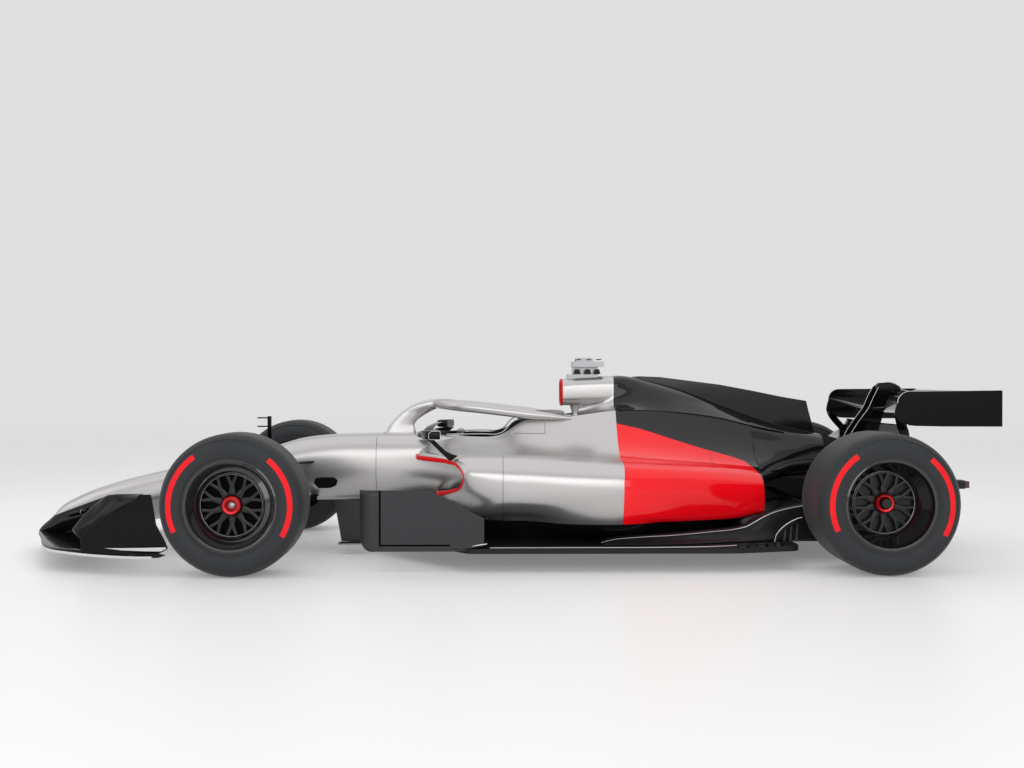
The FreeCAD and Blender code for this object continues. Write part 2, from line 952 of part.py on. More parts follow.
cell_form = new_body("survival_cell_form")
FRONT_SECTIONS = (
    (-size.bulkhead_station, size.bulkhead_half, size.bulkhead_top, size.bulkhead_base, 0.78),
    (0, size.axle_half, size.axle_top, size.axle_base, 0.8),
    (size.rocker_station, size.rocker_half, size.rocker_top, size.rocker_base, 0.84),
    (size.keel_station, size.keel_half, size.keel_top, size.rocker_base, 0.88),
)
COCKPIT_SECTIONS = (
    (size.keel_station, size.keel_half, size.keel_top, cell_base, 0.88),
    (size.dash_station, size.dash_half, size.dash_top, cell_base, 0.95),
    (size.cockpit_station, size.cockpit_half, size.rim_height, cell_base, 0.96),
    (size.shoulder_foot_station, size.cockpit_half, size.shoulder_foot_top, cell_base, 0.96),
    (size.shoulder_station, size.shoulder_half, size.shoulder_top, cell_base, 0.95),
    (size.tub_mid_station, size.shoulder_half, size.tub_rear_top, cell_base, 0.9),
    (size.tub_rear_station, size.tub_rear_half, size.tub_rear_top, cell_base, 0.8),
)
for sections in (FRONT_SECTIONS, COCKPIT_SECTIONS):
    loft(cell_form, [
        hull_section(cell_form, station, half, top, base, size.tub_round, lean)
        for station, half, top, base, lean in sections
    ])
cockpit_top = size.tub_rear_top + size.overrun
opening = outline_on(cell_form, "XY_Plane", cockpit_top, [
    (size.cockpit_front, -size.cockpit_opening_half, size.cockpit_nose_round),
    (size.cockpit_rear, -size.cockpit_opening_half, size.cockpit_tail_round),
    (size.cockpit_rear, size.cockpit_opening_half, size.cockpit_tail_round),
    (size.cockpit_front, size.cockpit_opening_half, size.cockpit_nose_round),
])
pocket(cell_form, opening, cockpit_top - size.cockpit_floor)
recess = outline_on(cell_form, "XY_Plane", cockpit_top, [
    (size.cockpit_rear - size.overrun, -size.headrest_half),
    (size.headrest_rear, -size.headrest_half, size.cockpit_tail_round),
    (size.headrest_rear, size.headrest_half, size.cockpit_tail_round),
    (size.cockpit_rear - size.overrun, size.headrest_half),
])
pocket(cell_form, recess, cockpit_top - size.headrest_floor)


# Floor, plank and diffuser.
def mirrored(corners):
    """An outline from its left half: the same corners again on the right, in reverse."""
    return corners + [(item[0], -item[1], *item[2:]) for item in reversed(corners)]


floor = new_body("floor")
notch_half = size.diffuser_half + size.seat_gap
floor_outline = mirrored([
    (size.diffuser_front, -notch_half),
    (size.floor_rear, -notch_half),
    (size.floor_rear, -size.floor_rear_half, size.floor_round),
    (size.floor_notch_station, -size.floor_half, size.floor_round),
    (size.floor_wide_station, -size.floor_half, size.floor_round),
    (size.floor_front, -size.floor_front_half, size.floor_round),
])
pad(floor, outline_on(floor, "XY_Plane", size.floor_base, floor_outline), size.floor_thickness)
keep("floor", floor)

keep("survival_cell", cut("survival_cell", cell_form, floor))

plank = new_body("plank")
plank_outline = mirrored([
    (size.plank_rear, -size.plank_half),
    (size.plank_front, -size.plank_half, size.floor_round),
])
pad(plank, outline_on(plank, "XY_Plane", size.plank_base, plank_outline), size.floor_base - size.plank_base)
keep("plank", plank)

diffuser = new_body("diffuser")
roof = [
    (size.diffuser_front, size.floor_base),
    (size.diffuser_kick, size.diffuser_kick_top - size.diffuser_wall),
    (size.diffuser_neck, size.diffuser_neck_top - size.diffuser_wall),
    (size.diffuser_rear, size.diffuser_rear_top - size.diffuser_wall),
    (size.diffuser_rear, size.diffuser_rear_top),
    (size.diffuser_neck, size.diffuser_neck_top),
    (size.diffuser_kick, size.diffuser_kick_top),
    (size.diffuser_front, floor_top),
]
pad(diffuser, outline_on(diffuser, "XZ_Plane", -size.diffuser_half, roof), size.diffuser_half * 2)
wall = [
    (size.diffuser_front, size.floor_base),
    (size.diffuser_rear, size.floor_base),
    (size.diffuser_rear, size.diffuser_rear_top),
    (size.diffuser_neck, size.diffuser_neck_top),
    (size.diffuser_kick, size.diffuser_kick_top),
    (size.diffuser_front, floor_top),
]
for across in (-size.diffuser_half, -size.strake_second, -size.strake_first,
               size.strake_first - size.diffuser_wall, size.strake_second - size.diffuser_wall,
               size.diffuser_half - size.diffuser_wall):
    pad(diffuser, outline_on(diffuser, "XZ_Plane", across, wall), size.diffuser_wall)
keep("diffuser", diffuser)
tunnels = new_body("diffuser_tunnels")
pad(tunnels, outline_on(tunnels, "XZ_Plane", -size.diffuser_half, wall), size.diffuser_half * 2)

# Front wing: its main plane, with the two posts that carry it up to the nose.

def spline_section(points):
    """A closed section: one smooth curve through the points and a straight trailing edge."""
    curve = Part.BSplineCurve()
    curve.interpolate(points)
    return Part.Wire([curve.toShape(), Part.LineSegment(points[-1], points[0]).toShape()])


AEROFOIL_SHARES = (
    (1.0, 0.04), (0.8, 0.16), (0.55, 0.3), (0.3, 0.4), (0.1, 0.34), (0.02, 0.16), (0.0, 0.0),
    (0.03, -0.18), (0.12, -0.38), (0.32, -0.58), (0.56, -0.5), (0.8, -0.26), (1.0, -0.04),
)


def aerofoil(station, across, up, chord, thickness, pitch_degrees, bow):
    """An upturned wing section from its leading edge back, bowed down and pitched tail up."""
    pitch = math.radians(pitch_degrees)
    points = []
    for back_share, up_share in AEROFOIL_SHARES:
        back = chord * back_share
        rise = thickness * up_share - 4 * bow * back_share * (1 - back_share)
        points.append(Vector(
            station + back * math.cos(pitch) - rise * math.sin(pitch), across,
            up + back * math.sin(pitch) + rise * math.cos(pitch)))
    return spline_section(points)


# Leading edge and trailing edge of the front plane by share of its half span and of its sweep.
WING_SWEEP_SHARES = (
    (0.0, 0.0, 0.0), (0.35, 0.13, 0.14), (0.68, 0.29, 0.42), (0.8, 0.4, 0.56), (0.885, 0.625, 0.73),
    (0.95, 0.83, 0.87), (1.0, 1.0, 1.0),
)


def front_plane():
    """The front wing's main plane, swept back from the nose to the foot of each endplate."""
    reach = size.wing_nose_reach.value
    sweep = reach - size.wing_tip_station.value
    tail_sweep = size.wing_root_tail.value - size.wing_tip_tail.value
    sections = []
    table = [(-share, *rest) for share, *rest in reversed(WING_SWEEP_SHARES[1:])]
    for half_share, lead_share, tail_share in table + list(WING_SWEEP_SHARES):
        lead = -reach + sweep * lead_share
        tail = -size.wing_root_tail.value + tail_sweep * tail_share
        across = size.wing_half.value * half_share
        sections.append(aerofoil(
            lead, across, size.wing_height.value, tail - lead, size.wing_thickness.value, 0,
            size.wing_camber.value * (1 - abs(half_share))))
    return Part.makeLoft(sections, True, False)


main_plane = shape_feature("front_plane_form", front_plane())
posts = [
    block(f"wing_post_{side_name}",
          (-size.wing_post_station, size.wing_post_half * side - size.wing_post_thickness * HALF,
           size.wing_height - size.wing_camber * HALF),
          (-size.wing_post_station + size.wing_post_length,
           size.wing_post_half * side + size.wing_post_thickness * HALF,
           size.nose_tip_top))
    for side_name, side in SIDES.items()
]
keep("front_wing_mainplane", cut("front_wing_mainplane", fuse("front_plane_set", [main_plane] + posts), nose))
keep("nose_cone", nose)


# Cockpit: seat, steering wheel and headrest.
seat = new_body("seat")
seat_floor = size.cockpit_floor + size.seat_gap
seat_rear = size.cockpit_rear - size.overrun - size.seat_gap
seat_outline = [
    (size.seat_front, seat_floor),
    (size.seat_back, seat_floor),
    (seat_rear, size.seat_height + seat_floor),
    (seat_rear - size.seat_wall, size.seat_height + seat_floor),
    (size.seat_back - size.seat_wall * 3, size.seat_pan_height + seat_floor, size.seat_wall * 2),
    (size.seat_front, size.seat_pan_height + seat_floor),
]
pad(seat, outline_on(seat, "XZ_Plane", -size.seat_half, seat_outline), size.seat_half * 2)
keep("seat", seat)

steering = new_body("steering_wheel", size.wheel_station, 0, size.wheel_height)
wheel_outline = [
    (-size.wheel_rim_half, -size.wheel_rim_height * 0.7, size.wheel_rim_thickness),
    (size.wheel_rim_half, -size.wheel_rim_height * 0.7, size.wheel_rim_thickness),
    (size.wheel_rim_half, size.wheel_rim_height, size.wheel_rim_thickness),
    (-size.wheel_rim_half, size.wheel_rim_height, size.wheel_rim_thickness),
]
pad(steering, outline_on(steering, "YZ_Plane", 0, wheel_outline), size.wheel_rim_thickness)
column_length = size.wheel_station - size.cockpit_front - size.seat_gap
column = new_sketch(steering, "YZ_Plane", -column_length)
draw_circle(column, 0, 0, size.column_radius)
pad(steering, column, column_length)
for side in SIDES.values():
    grip = [
        (size.wheel_rim_half * 0.6 * side, -size.wheel_rim_height * 0.4, size.wheel_rim_thickness * 0.3),
        (size.wheel_rim_half * 0.82 * side, -size.wheel_rim_height * 0.4, size.wheel_rim_thickness * 0.3),
        (size.wheel_rim_half * 0.82 * side, size.wheel_rim_height * 0.4, size.wheel_rim_thickness * 0.3),
        (size.wheel_rim_half * 0.6 * side, size.wheel_rim_height * 0.4, size.wheel_rim_thickness * 0.3),
    ]
    pocket(steering, outline_on(steering, "YZ_Plane", size.wheel_rim_thickness, grip),
           size.wheel_rim_thickness)
keep("steering_wheel", steering)

headrest = new_body("headrest")
rest_half = size.headrest_half - size.seat_gap
headrest_outline = mirrored([
    (size.cockpit_rear + size.headrest_wall, 0),
    (size.cockpit_rear + size.headrest_wall * 0.6, -rest_half * 0.4),
    (size.cockpit_rear + size.seat_gap, -rest_half * 0.8),
    (size.cockpit_rear + size.seat_gap, -rest_half),
    (size.headrest_rear - size.seat_gap, -rest_half, size.cockpit_tail_round),
])[1:]
pad(headrest, outline_on(headrest, "XY_Plane", size.headrest_floor + size.seat_gap, headrest_outline),
    size.headrest_top - size.headrest_floor)
keep("headrest", headrest)


# Halo: a hoop bent round the opening and a faired pylon in front of it.
def ellipse(centre, half_length, half_width, along=Vector(1, 0, 0), normal=Vector(0, 0, 1)):
    """A closed ellipse round a point, long way along one direction; its seam is at the long end."""
    across = normal.cross(along).normalize()
    if half_length < half_width:
        half_length, half_width, along, across = half_width, half_length, across, -along
    curve = Part.Ellipse(centre + along * half_length, centre + across * half_width, centre)
    return Part.Wire([curve.toShape()])


def halo_shape():
    """The hoop, its two feet and the front pylon."""
    side = [
        point(size.halo_rear_station + size.halo_foot_length, size.halo_rear_half,
              size.halo_rear_height - size.halo_tube_radius),
        point(size.halo_rear_station, size.halo_rear_half, size.halo_rear_height),
        point(size.halo_side_station, size.halo_half, size.halo_side_height),
        point(size.halo_front + size.halo_half * 0.3, size.halo_half * 0.74, size.halo_front_height * 0.996),
    ]
    front = point(size.halo_front, 0, size.halo_front_height)
    other = [Vector(spot.x, -spot.y, spot.z) for spot in reversed(side)]
    spine = Part.BSplineCurve()
    spine.interpolate(side + [front] + other)
    start = side[0]
    direction = spine.tangent(spine.FirstParameter)[0]
    section = Part.Wire([Part.Circle(start, direction, size.halo_tube_radius.value).toShape()])
    hoop = Part.Wire([spine.toShape()]).makePipeShell([section], True, True)
    base = point(size.pylon_base_station, 0, size.dash_top - size.overrun)
    waist = point(size.pylon_waist_station, 0, size.pylon_waist_height)
    head = point(size.halo_front, 0, size.halo_front_height)
    pylon = Part.makeLoft([
        ellipse(base, size.pylon_base_chord.value * HALF, size.pylon_base_width.value * HALF),
        ellipse(waist, size.pylon_waist_chord.value * HALF, size.pylon_waist_width.value * HALF),
        ellipse(head, size.pylon_top_chord.value * HALF, size.pylon_waist_width.value * HALF),
    ], True, False)
    return hoop.fuse(pylon)


keep("halo", cut("halo", shape_feature("halo_form", halo_shape()), cell_form))


# Engine cover: airbox housing on a strut, then the cover's body, hollow over the engine, and its fin.
def cover_section(body, station, crest_half, top, brow_half, brow, waist_half, waist, foot_half, foot,
                  base, radius, wall=0):
    """One section of the engine cover, widening in three steps from its crest to its foot."""
    return outline_on(body, "YZ_Plane", station, rounded([
        (-foot_half + wall, base), (foot_half - wall, base), (foot_half - wall, foot - wall),
        (waist_half - wall, waist - wall), (brow_half - wall, brow - wall), (crest_half, top - wall),
        (-crest_half, top - wall), (-brow_half + wall, brow - wall), (-waist_half + wall, waist - wall),
        (-foot_half + wall, foot - wall),
    ], radius))


COVER_SECTIONS = (
    (size.cover_neck_station, size.cover_crest_half * 0.6, size.cover_split_waist, size.cover_crest_half,
     size.cover_split_waist * 0.985, size.cover_split_brow_half, size.cover_split_waist * 0.95,
     size.cover_split_foot_half * 0.72, size.cover_split_foot, size.cover_base),
    (size.cover_split_station, size.cover_crest_half, size.cover_split_top, size.cover_split_brow_half,
     size.cover_split_brow, size.cover_split_waist_half, size.cover_split_waist,
     size.cover_split_foot_half, size.cover_split_foot, size.cover_base),
    (size.cover_mid_station, size.cover_mid_crest_half, size.cover_mid_top, size.cover_mid_brow_half,
     size.cover_mid_brow, size.cover_mid_waist_half, size.cover_mid_waist, size.cover_mid_foot_half,
     size.cover_mid_foot, size.cover_base),
    (size.cover_rear_station, size.cover_rear_crest_half, size.cover_rear_top,
     size.cover_rear_brow_half, size.cover_rear_brow, size.cover_rear_waist_half,
     size.cover_rear_waist, size.cover_rear_foot_half, size.cover_rear_foot, size.cover_rear_base),
    (size.cover_tail_station, size.cover_tail_crest_half, size.cover_tail_top,
     size.cover_tail_brow_half, size.cover_tail_brow, size.cover_tail_waist_half,
     size.cover_tail_waist, size.cover_tail_foot_half, size.cover_tail_foot, size.cover_tail_base),
)
cover_skin = new_body("engine_cover_skin")
cover_round = size.cover_tail_crest_half * HALF
loft(cover_skin, [cover_section(cover_skin, *values, cover_round) for values in COVER_SECTIONS])
cover_cavity = new_body("engine_cover_cavity")
cavity_sections = []
for station, *values in COVER_SECTIONS:
    values[-1] = values[-1] - size.overrun
    cavity_sections.append(cover_section(
        cover_cavity, station + size.cover_wall * HALF, *values, size.cover_tail_crest_half * 0.2,
        size.cover_wall))
loft(cover_cavity, cavity_sections)

airbox = new_body("airbox")
middle = (size.airbox_top + size.airbox_base) * HALF
airbox_sections = []
for station, half, top, base in (
    (size.airbox_station, size.airbox_half, size.airbox_top, size.airbox_base),
    (size.cover_neck_station, size.airbox_half * 1.15, size.airbox_top + size.overrun * HALF,
     size.airbox_base - size.overrun),
    (size.cover_split_station + size.overrun, size.airbox_half * 1.2, size.cover_split_top,
     size.cover_split_waist),
):
    airbox_sections.append(outline_on(airbox, "YZ_Plane", station, rounded([
        (-half, base), (half, base), (half, top), (-half, top)], size.airbox_round)))
loft(airbox, airbox_sections)
duct_half = size.airbox_half - size.airbox_wall
duct = outline_on(airbox, "YZ_Plane", size.airbox_station, rounded([
    (-duct_half, size.airbox_base + size.airbox_wall), (duct_half, size.airbox_base + size.airbox_wall),
    (duct_half, size.airbox_top - size.airbox_wall), (-duct_half, size.airbox_top - size.airbox_wall),
], size.airbox_round - size.airbox_wall))
pocket(airbox, duct, size.airbox_duct_depth, reverse=True)

strut = new_body("airbox_strut")
strut_outline = [
    (size.strut_front, -size.strut_half * 0.5, size.strut_half * 0.4),
    (size.strut_rear, -size.strut_half),
    (size.strut_rear, size.strut_half),
    (size.strut_front, size.strut_half * 0.5, size.strut_half * 0.4),
]
strut_foot = size.shoulder_top - size.overrun * 2
pad(strut, outline_on(strut, "XY_Plane", strut_foot, strut_outline),
    size.airbox_base + size.airbox_wall * HALF - strut_foot)

fin = new_body("shark_fin")
fin_outline = [
    (size.fin_front, size.fin_front_top),
    (size.fin_mid, size.fin_mid_top),
    (size.fin_high, size.fin_high_top),
    (size.fin_rear, size.fin_rear_top, size.overrun),
    (size.fin_foot, size.fin_foot_top),
    (size.cover_rear_station, size.cover_rear_brow),
    (size.fin_front, size.cover_mid_brow),
]
pad(fin, outline_on(fin, "XZ_Plane", -size.fin_thickness * HALF, fin_outline), size.fin_thickness)

cover_form = fuse("engine_cover_form", [cover_skin, airbox, strut, fin])
shell_cavity = cut("cover_cavity_clear", cover_cavity, fuse("cover_keeps", [airbox, fin]))
keep("engine_cover", cut("engine_cover", cover_form, fuse("cover_room", [shell_cavity, cell_form])))


# Sidepods: an undercut body that narrows to the tail, with a slanted inlet cut into its front.
def pod_section(body, side, station, half, top, shoulder, waist, base_half, base, foot_half):
    """One section of a sidepod, from the floor out under the undercut, round and over the top."""
    corners = [
        (size.pod_inner, floor_top), (foot_half, floor_top), (base_half, base), (half, waist),
        (half * 0.985, shoulder), (half - (top - shoulder) * 1.6, top), (size.pod_inner, top),
    ]
    return outline_on(body, "YZ_Plane", station, [
        (across * side, up, size.pod_round) if 0 < index < 6 else (across * side, up)
        for index, (across, up) in enumerate(corners)
    ])


POD_SECTIONS = (
    (size.pod_inlet_station, size.pod_inlet_half, size.pod_inlet_top, size.pod_inlet_shoulder * 0.94,
     size.pod_inlet_base * 1.08, size.pod_inlet_half * 0.88, size.pod_inlet_base,
     size.undercut_half * 0.8),
    (size.pod_lip_station, size.pod_lip_half, size.pod_lip_top, size.pod_lip_shoulder,
     size.pod_lip_waist, size.pod_lip_base_half, size.pod_lip_base, size.undercut_half),
    (size.pod_wide_station, size.pod_wide_half, size.pod_wide_top, size.pod_wide_shoulder,
     size.pod_wide_waist, size.pod_wide_base_half, size.pod_wide_base, size.undercut_half),
    (size.pod_split_station, size.pod_split_half, size.pod_split_top, size.pod_split_shoulder,
     size.pod_split_waist, size.pod_split_base_half, size.pod_split_base, size.undercut_half),
    (size.pod_taper_station, size.pod_taper_half, size.pod_taper_top, size.pod_taper_shoulder,
     size.pod_taper_waist, size.pod_taper_base_half, size.pod_taper_base, size.undercut_half),
    (size.pod_tail_station, size.pod_tail_half, size.pod_tail_top, size.pod_tail_shoulder,
     size.pod_tail_waist, size.pod_tail_base_half, size.pod_tail_base, size.undercut_rear_half),
)
pod_neighbours = fuse("pod_neighbours", [cell_form, cover_skin, floor, tunnels])
for side_name, side in SIDES.items():
    pod = new_body(f"sidepod_{side_name}_form")
    loft(pod, [pod_section(pod, side, *values) for values in POD_SECTIONS])
    mouth = outline_on(pod, "XY_Plane", size.pod_inlet_shoulder, [
        (size.pod_inlet_station - size.overrun, size.pod_inlet_inner * side),
        (size.pod_inlet_station - size.overrun, (size.pod_lip_half + size.overrun) * side),
        (size.pod_lip_station, (size.pod_lip_half + size.overrun) * side),
        (size.pod_lip_station, size.pod_inlet_half * side),
        (size.pod_inlet_station + size.pod_inlet_depth, (size.pod_inlet_half - size.pod_inlet_depth) * side),
        (size.pod_inlet_station + size.pod_inlet_depth, size.pod_inlet_inner * side),
    ])
    pocket(pod, mouth, size.pod_inlet_shoulder - size.pod_lip_waist)
    chin = outline_on(pod, "XY_Plane", size.pod_lip_waist, [
        (size.pod_inlet_station - size.overrun, size.pod_inner * 0.9 * side),
        (size.pod_inlet_station - size.overrun, (size.pod_lip_half + size.overrun) * side),
        (size.pod_lip_station, (size.pod_lip_half + size.overrun) * side),
        (size.undercut_front, size.undercut_half * side),
        (size.pod_inlet_station + size.overrun * 2, size.pod_inlet_inner * side),
        (size.pod_inlet_station + size.overrun * 2, size.pod_inner * 0.9 * side),
    ])
    pocket(pod, chin, size.pod_lip_waist - floor_top + size.overrun)
    keep(f"sidepod_{side_name}", cut(f"sidepod_{side_name}", pod, pod_neighbours))


# Front wing: flaps over the main plane, endplates on its tips and posts up to the nose.
def wing_panel(root, tip, thickness, pitch, bow):
    """A flap between a root and a tip, each a (station, across, up, chord) of plain values."""
    sections = []
    for station, across, up, chord in (root, tip):
        sections.append(aerofoil(station, across, up, chord, thickness, pitch, bow))
    return Part.makeLoft(sections, True, True)


def front_flaps():
    """Two flaps on each side, between the nose and the endplate."""
    panels = []
    for side in SIDES.values():
        root_half = size.flap_root_half.value * side
        tip_half = size.flap_tip_half.value * side
        panels.append(wing_panel(
            (-size.lower_flap_root_station.value, root_half, size.lower_flap_root_height.value,
             size.lower_flap_root_chord.value),
            (-size.lower_flap_tip_station.value, tip_half, size.lower_flap_tip_height.value,
             size.lower_flap_tip_chord.value),
            size.flap_thickness.value, size.flap_pitch.value, size.wing_camber.value * HALF))
        panels.append(wing_panel(
            (-size.upper_flap_root_station.value, root_half, size.upper_flap_root_height.value,
             size.upper_flap_root_chord.value),
            (-size.upper_flap_tip_station.value, tip_half, size.upper_flap_tip_height.value,
             size.upper_flap_tip_chord.value),
            size.flap_thickness.value, size.upper_flap_pitch.value, size.wing_camber.value * HALF))
    return Part.makeCompound(panels)


endplates = []
flap_trims = []
for side_name, side in SIDES.items():
    plate = new_body(f"front_endplate_{side_name}")
    inner = size.wing_endplate_thickness
    strip = [
        (-size.wing_endplate_front, size.wing_endplate_front_half * side),
        (-size.wing_endplate_crest, (size.wing_endplate_front_half * 0.4
                                     + size.wing_endplate_rear_half * 0.6) * side),
        (-size.wing_endplate_rear, size.wing_endplate_rear_half * side),
        (-size.wing_endplate_rear, (size.wing_endplate_rear_half - inner) * side),
        (-size.wing_endplate_crest, (size.wing_endplate_front_half * 0.4
                                     + size.wing_endplate_rear_half * 0.6 - inner) * side),
        (-size.wing_endplate_front, (size.wing_endplate_front_half - inner) * side),
    ]
    pad(plate, outline_on(plate, "XY_Plane", size.wing_height - size.wing_thickness, strip),
        size.wing_endplate_top - size.wing_height + size.wing_thickness)
    above = size.wing_endplate_top + size.overrun
    front_waste = [
        (-size.wing_endplate_front - size.overrun, size.wing_endplate_front_top),
        (-size.wing_endplate_crest, size.wing_endplate_top, size.wing_endplate_round),
        (-size.wing_endplate_crest + size.overrun, above),
        (-size.wing_endplate_front - size.overrun, above),
    ]
    rear_waste = [
        (-size.wing_endplate_crest_rear, above),
        (-size.wing_endplate_crest_rear, size.wing_endplate_top, size.wing_endplate_round * HALF),
        (-size.wing_endplate_heel, size.wing_endplate_heel_height, size.wing_endplate_round),
        (-size.wing_endplate_rear, size.wing_endplate_foot_height),
        (-size.wing_endplate_rear + size.overrun, size.wing_endplate_foot_height),
        (-size.wing_endplate_rear + size.overrun, above),
    ]
    for waste in (front_waste, rear_waste):
        pocket(plate, outline_on(plate, "XZ_Plane", size.overall_width * HALF, waste),
               size.overall_width, reverse=False)
    endplates.append(plate)
    trim = new_body(f"flap_trim_{side_name}")
    beyond = size.overall_width * HALF * side
    pad(trim, outline_on(trim, "XY_Plane", size.wing_height - size.wing_thickness, [
        (-size.wing_nose_reach, beyond), (-size.wing_nose_reach, strip[-1][1]), strip[-1], strip[-2],
        strip[-3], (-size.wing_endplate_rear, beyond)]), size.wing_endplate_top)
    flap_trims.append(trim)
trimmed_flaps = cut("front_flaps_trimmed", shape_feature("front_flap_form", front_flaps()),
                    fuse("front_flap_trims", flap_trims))
keep("front_wing_flaps", cut("front_wing_flaps", trimmed_flaps, fuse("front_flap_room", [nose, main_plane])))
keep("front_wing_endplates", cut("front_wing_endplates", fuse("front_endplate_pair", endplates), main_plane))

# Floorboards: the tall slotted panels ahead of each sidepod, and the keel vanes between them.
boards = []
for side_name, side in SIDES.items():
    board = new_body(f"floorboard_{side_name}")
    panel = [
        (size.board_front, size.board_base, size.board_round),
        (size.board_front, size.board_top),
        (size.board_peak, size.board_top),
        (size.board_rear, size.board_rear_top),
        (size.board_rear, size.board_rear_base),
        (size.board_rear - size.board_round, size.board_base),
    ]
    outer = size.board_half - size.board_thickness if side < 0 else -size.board_half
    pad(board, outline_on(board, "XZ_Plane", outer, panel), size.board_thickness)
    slot = [
        (size.board_slot_station, size.board_slot_base),
        (size.board_slot_station + size.board_slot_width, size.board_slot_base),
        (size.board_slot_station + size.board_slot_width, size.board_top - size.overrun),
        (size.board_slot_station, size.board_top - size.overrun),
    ]
    pocket(board, outline_on(board, "XZ_Plane", outer + size.board_thickness + size.overrun, slot),
           size.board_thickness + size.overrun * 2)
    foot = [
        (size.board_rear - size.board_foot_depth * 1.6, (size.board_half - size.board_thickness * HALF) * side),
        (size.board_rear, (size.board_half - size.board_thickness * HALF) * side),
        (size.board_rear, (size.board_half - size.board_thickness - size.board_foot_depth) * side),
        (size.board_rear - size.board_foot_depth, (size.board_half - size.board_thickness - size.board_foot_depth) * side),
    ]
    pad(board, outline_on(board, "XY_Plane", floor_top + size.seat_gap, foot), size.board_foot_height)
    boards.append(board)
keep("floorboards", cut("floorboards", fuse("floorboard_pair", boards), floor))

vanes = []
for side_name, side in SIDES.items():
    vane = new_body(f"keel_vane_{side_name}")
    vane_outline = [
        (size.vane_front, size.vane_base),
        (size.vane_rear, size.vane_base),
        (size.vane_rear + size.vane_foot, size.vane_top + size.overrun),
        (size.vane_front, size.vane_top + size.overrun),
    ]
    outer = -size.vane_half * side + (size.vane_thickness * -HALF)
    pad(vane, outline_on(vane, "XZ_Plane", outer, vane_outline), size.vane_thickness)
    foot = [
        (size.vane_front, size.vane_half * side),
        (size.vane_rear, size.vane_half * side),
        (size.vane_rear + size.vane_foot, (size.vane_half + size.vane_foot) * side),
        (size.vane_front + size.vane_foot, (size.vane_half + size.vane_foot) * side),
    ]
    pad(vane, outline_on(vane, "XY_Plane", size.vane_base, foot), size.vane_thickness)
    vanes.append(vane)
keep("keel_vanes", cut("keel_vanes", fuse("keel_vane_pair", vanes), cell_form))

# Engine and gearbox, plain blocks at their real places, and the exhaust over the gearbox.
engine = block("engine_block", (size.engine_front, -size.engine_half, cell_base),
               (size.engine_rear, size.engine_half, size.engine_top))
keep("engine_block", engine)

gearbox = new_body("gearbox_case")


def tapered_section(body, station, half, base, top, radius):
    """A rectangular section with round corners."""
    return outline_on(body, "YZ_Plane", station, rounded([
        (-half, base), (half, base), (half, top), (-half, top)], radius))


loft(gearbox, [
    tapered_section(gearbox, size.engine_rear + size.seat_gap, size.gearbox_half, size.gearbox_base,
                    size.gearbox_top, size.overrun),
    tapered_section(gearbox, size.gearbox_rear, size.gearbox_tail_half, size.gearbox_tail_base,
                    size.gearbox_tail_top, size.overrun),
])
keep("gearbox_case", gearbox)

crash = new_body("rear_crash_structure")
crash_end = size.wheelbase + size.tail_overhang - size.light_height * HALF
loft(crash, [
    tapered_section(crash, size.gearbox_rear + size.seat_gap, size.crash_half, size.crash_base,
                    size.crash_top, size.overrun),
    tapered_section(crash, crash_end, size.crash_tail_half, size.crash_tail_base,
                    size.crash_tail_top, size.overrun * HALF),
])
keep("rear_crash_structure", crash)
light = new_body("rear_light")
pad(light, tapered_section(light, crash_end, size.light_half, size.crash_tail_base + size.overrun * 0.2,
                           size.crash_tail_top - size.overrun * 0.2, size.overrun * 0.3),
    size.light_height * HALF)
keep("rear_light", light)

exhaust = new_body("exhaust_tailpipe")
pipe = new_sketch(exhaust, "YZ_Plane", size.exhaust_front)
draw_circle(pipe, 0, size.exhaust_height, size.exhaust_radius)
draw_circle(pipe, 0, size.exhaust_height, size.exhaust_radius - size.exhaust_wall)
pad(exhaust, pipe, size.exhaust_rear - size.exhaust_front)
exhaust_stay = [
    (size.exhaust_rear - size.overrun * 6, size.gearbox_tail_base + size.overrun),
    (size.exhaust_rear - size.overrun * 3, size.gearbox_tail_base + size.overrun),
    (size.exhaust_rear - size.overrun * 3, size.exhaust_height - size.exhaust_radius + size.exhaust_wall * HALF),
    (size.exhaust_rear - size.overrun * 6, size.exhaust_height - size.exhaust_radius + size.exhaust_wall * HALF),
]
pad(exhaust, outline_on(exhaust, "XZ_Plane", -size.fin_thickness * HALF, exhaust_stay), size.fin_thickness)
keep("exhaust_tailpipe", cut("exhaust_tailpipe", exhaust, fuse("exhaust_room", [gearbox, cover_form])))


# Rear wing: a plane that dips in its middle, a flap hinged near its tail, endplates and pylons.
REAR_PLANE_SHARES = ((-1.0, 1.0), (-0.72, 0.55), (-0.38, 0.14), (0.0, 0.0), (0.38, 0.14), (0.72, 0.55),
                     (1.0, 1.0))


def rear_plane():
    """The rear wing's main plane, its leading edge drawn forward and up towards the tips."""
    half = (size.rear_wing_half - size.rear_endplate_thickness * HALF).value
    sections = []
    for half_share, lift_share in REAR_PLANE_SHARES:
        station = size.rear_plane_station.value - lift_share * (
            size.rear_plane_station.value - size.rear_plane_tip_station.value)
        up = size.rear_plane_centre_height.value + lift_share * (
            size.rear_plane_tip_height.value - size.rear_plane_centre_height.value)
        chord = size.rear_plane_station.value + size.rear_plane_chord.value - station
        sections.append(aerofoil(station, half * half_share, up, chord,
                                 size.rear_plane_thickness.value, 2, size.wing_camber.value))
    return Part.makeLoft(sections, True, False)


rear_plane_item = keep("rear_wing_mainplane", shape_feature("rear_wing_mainplane", rear_plane()))


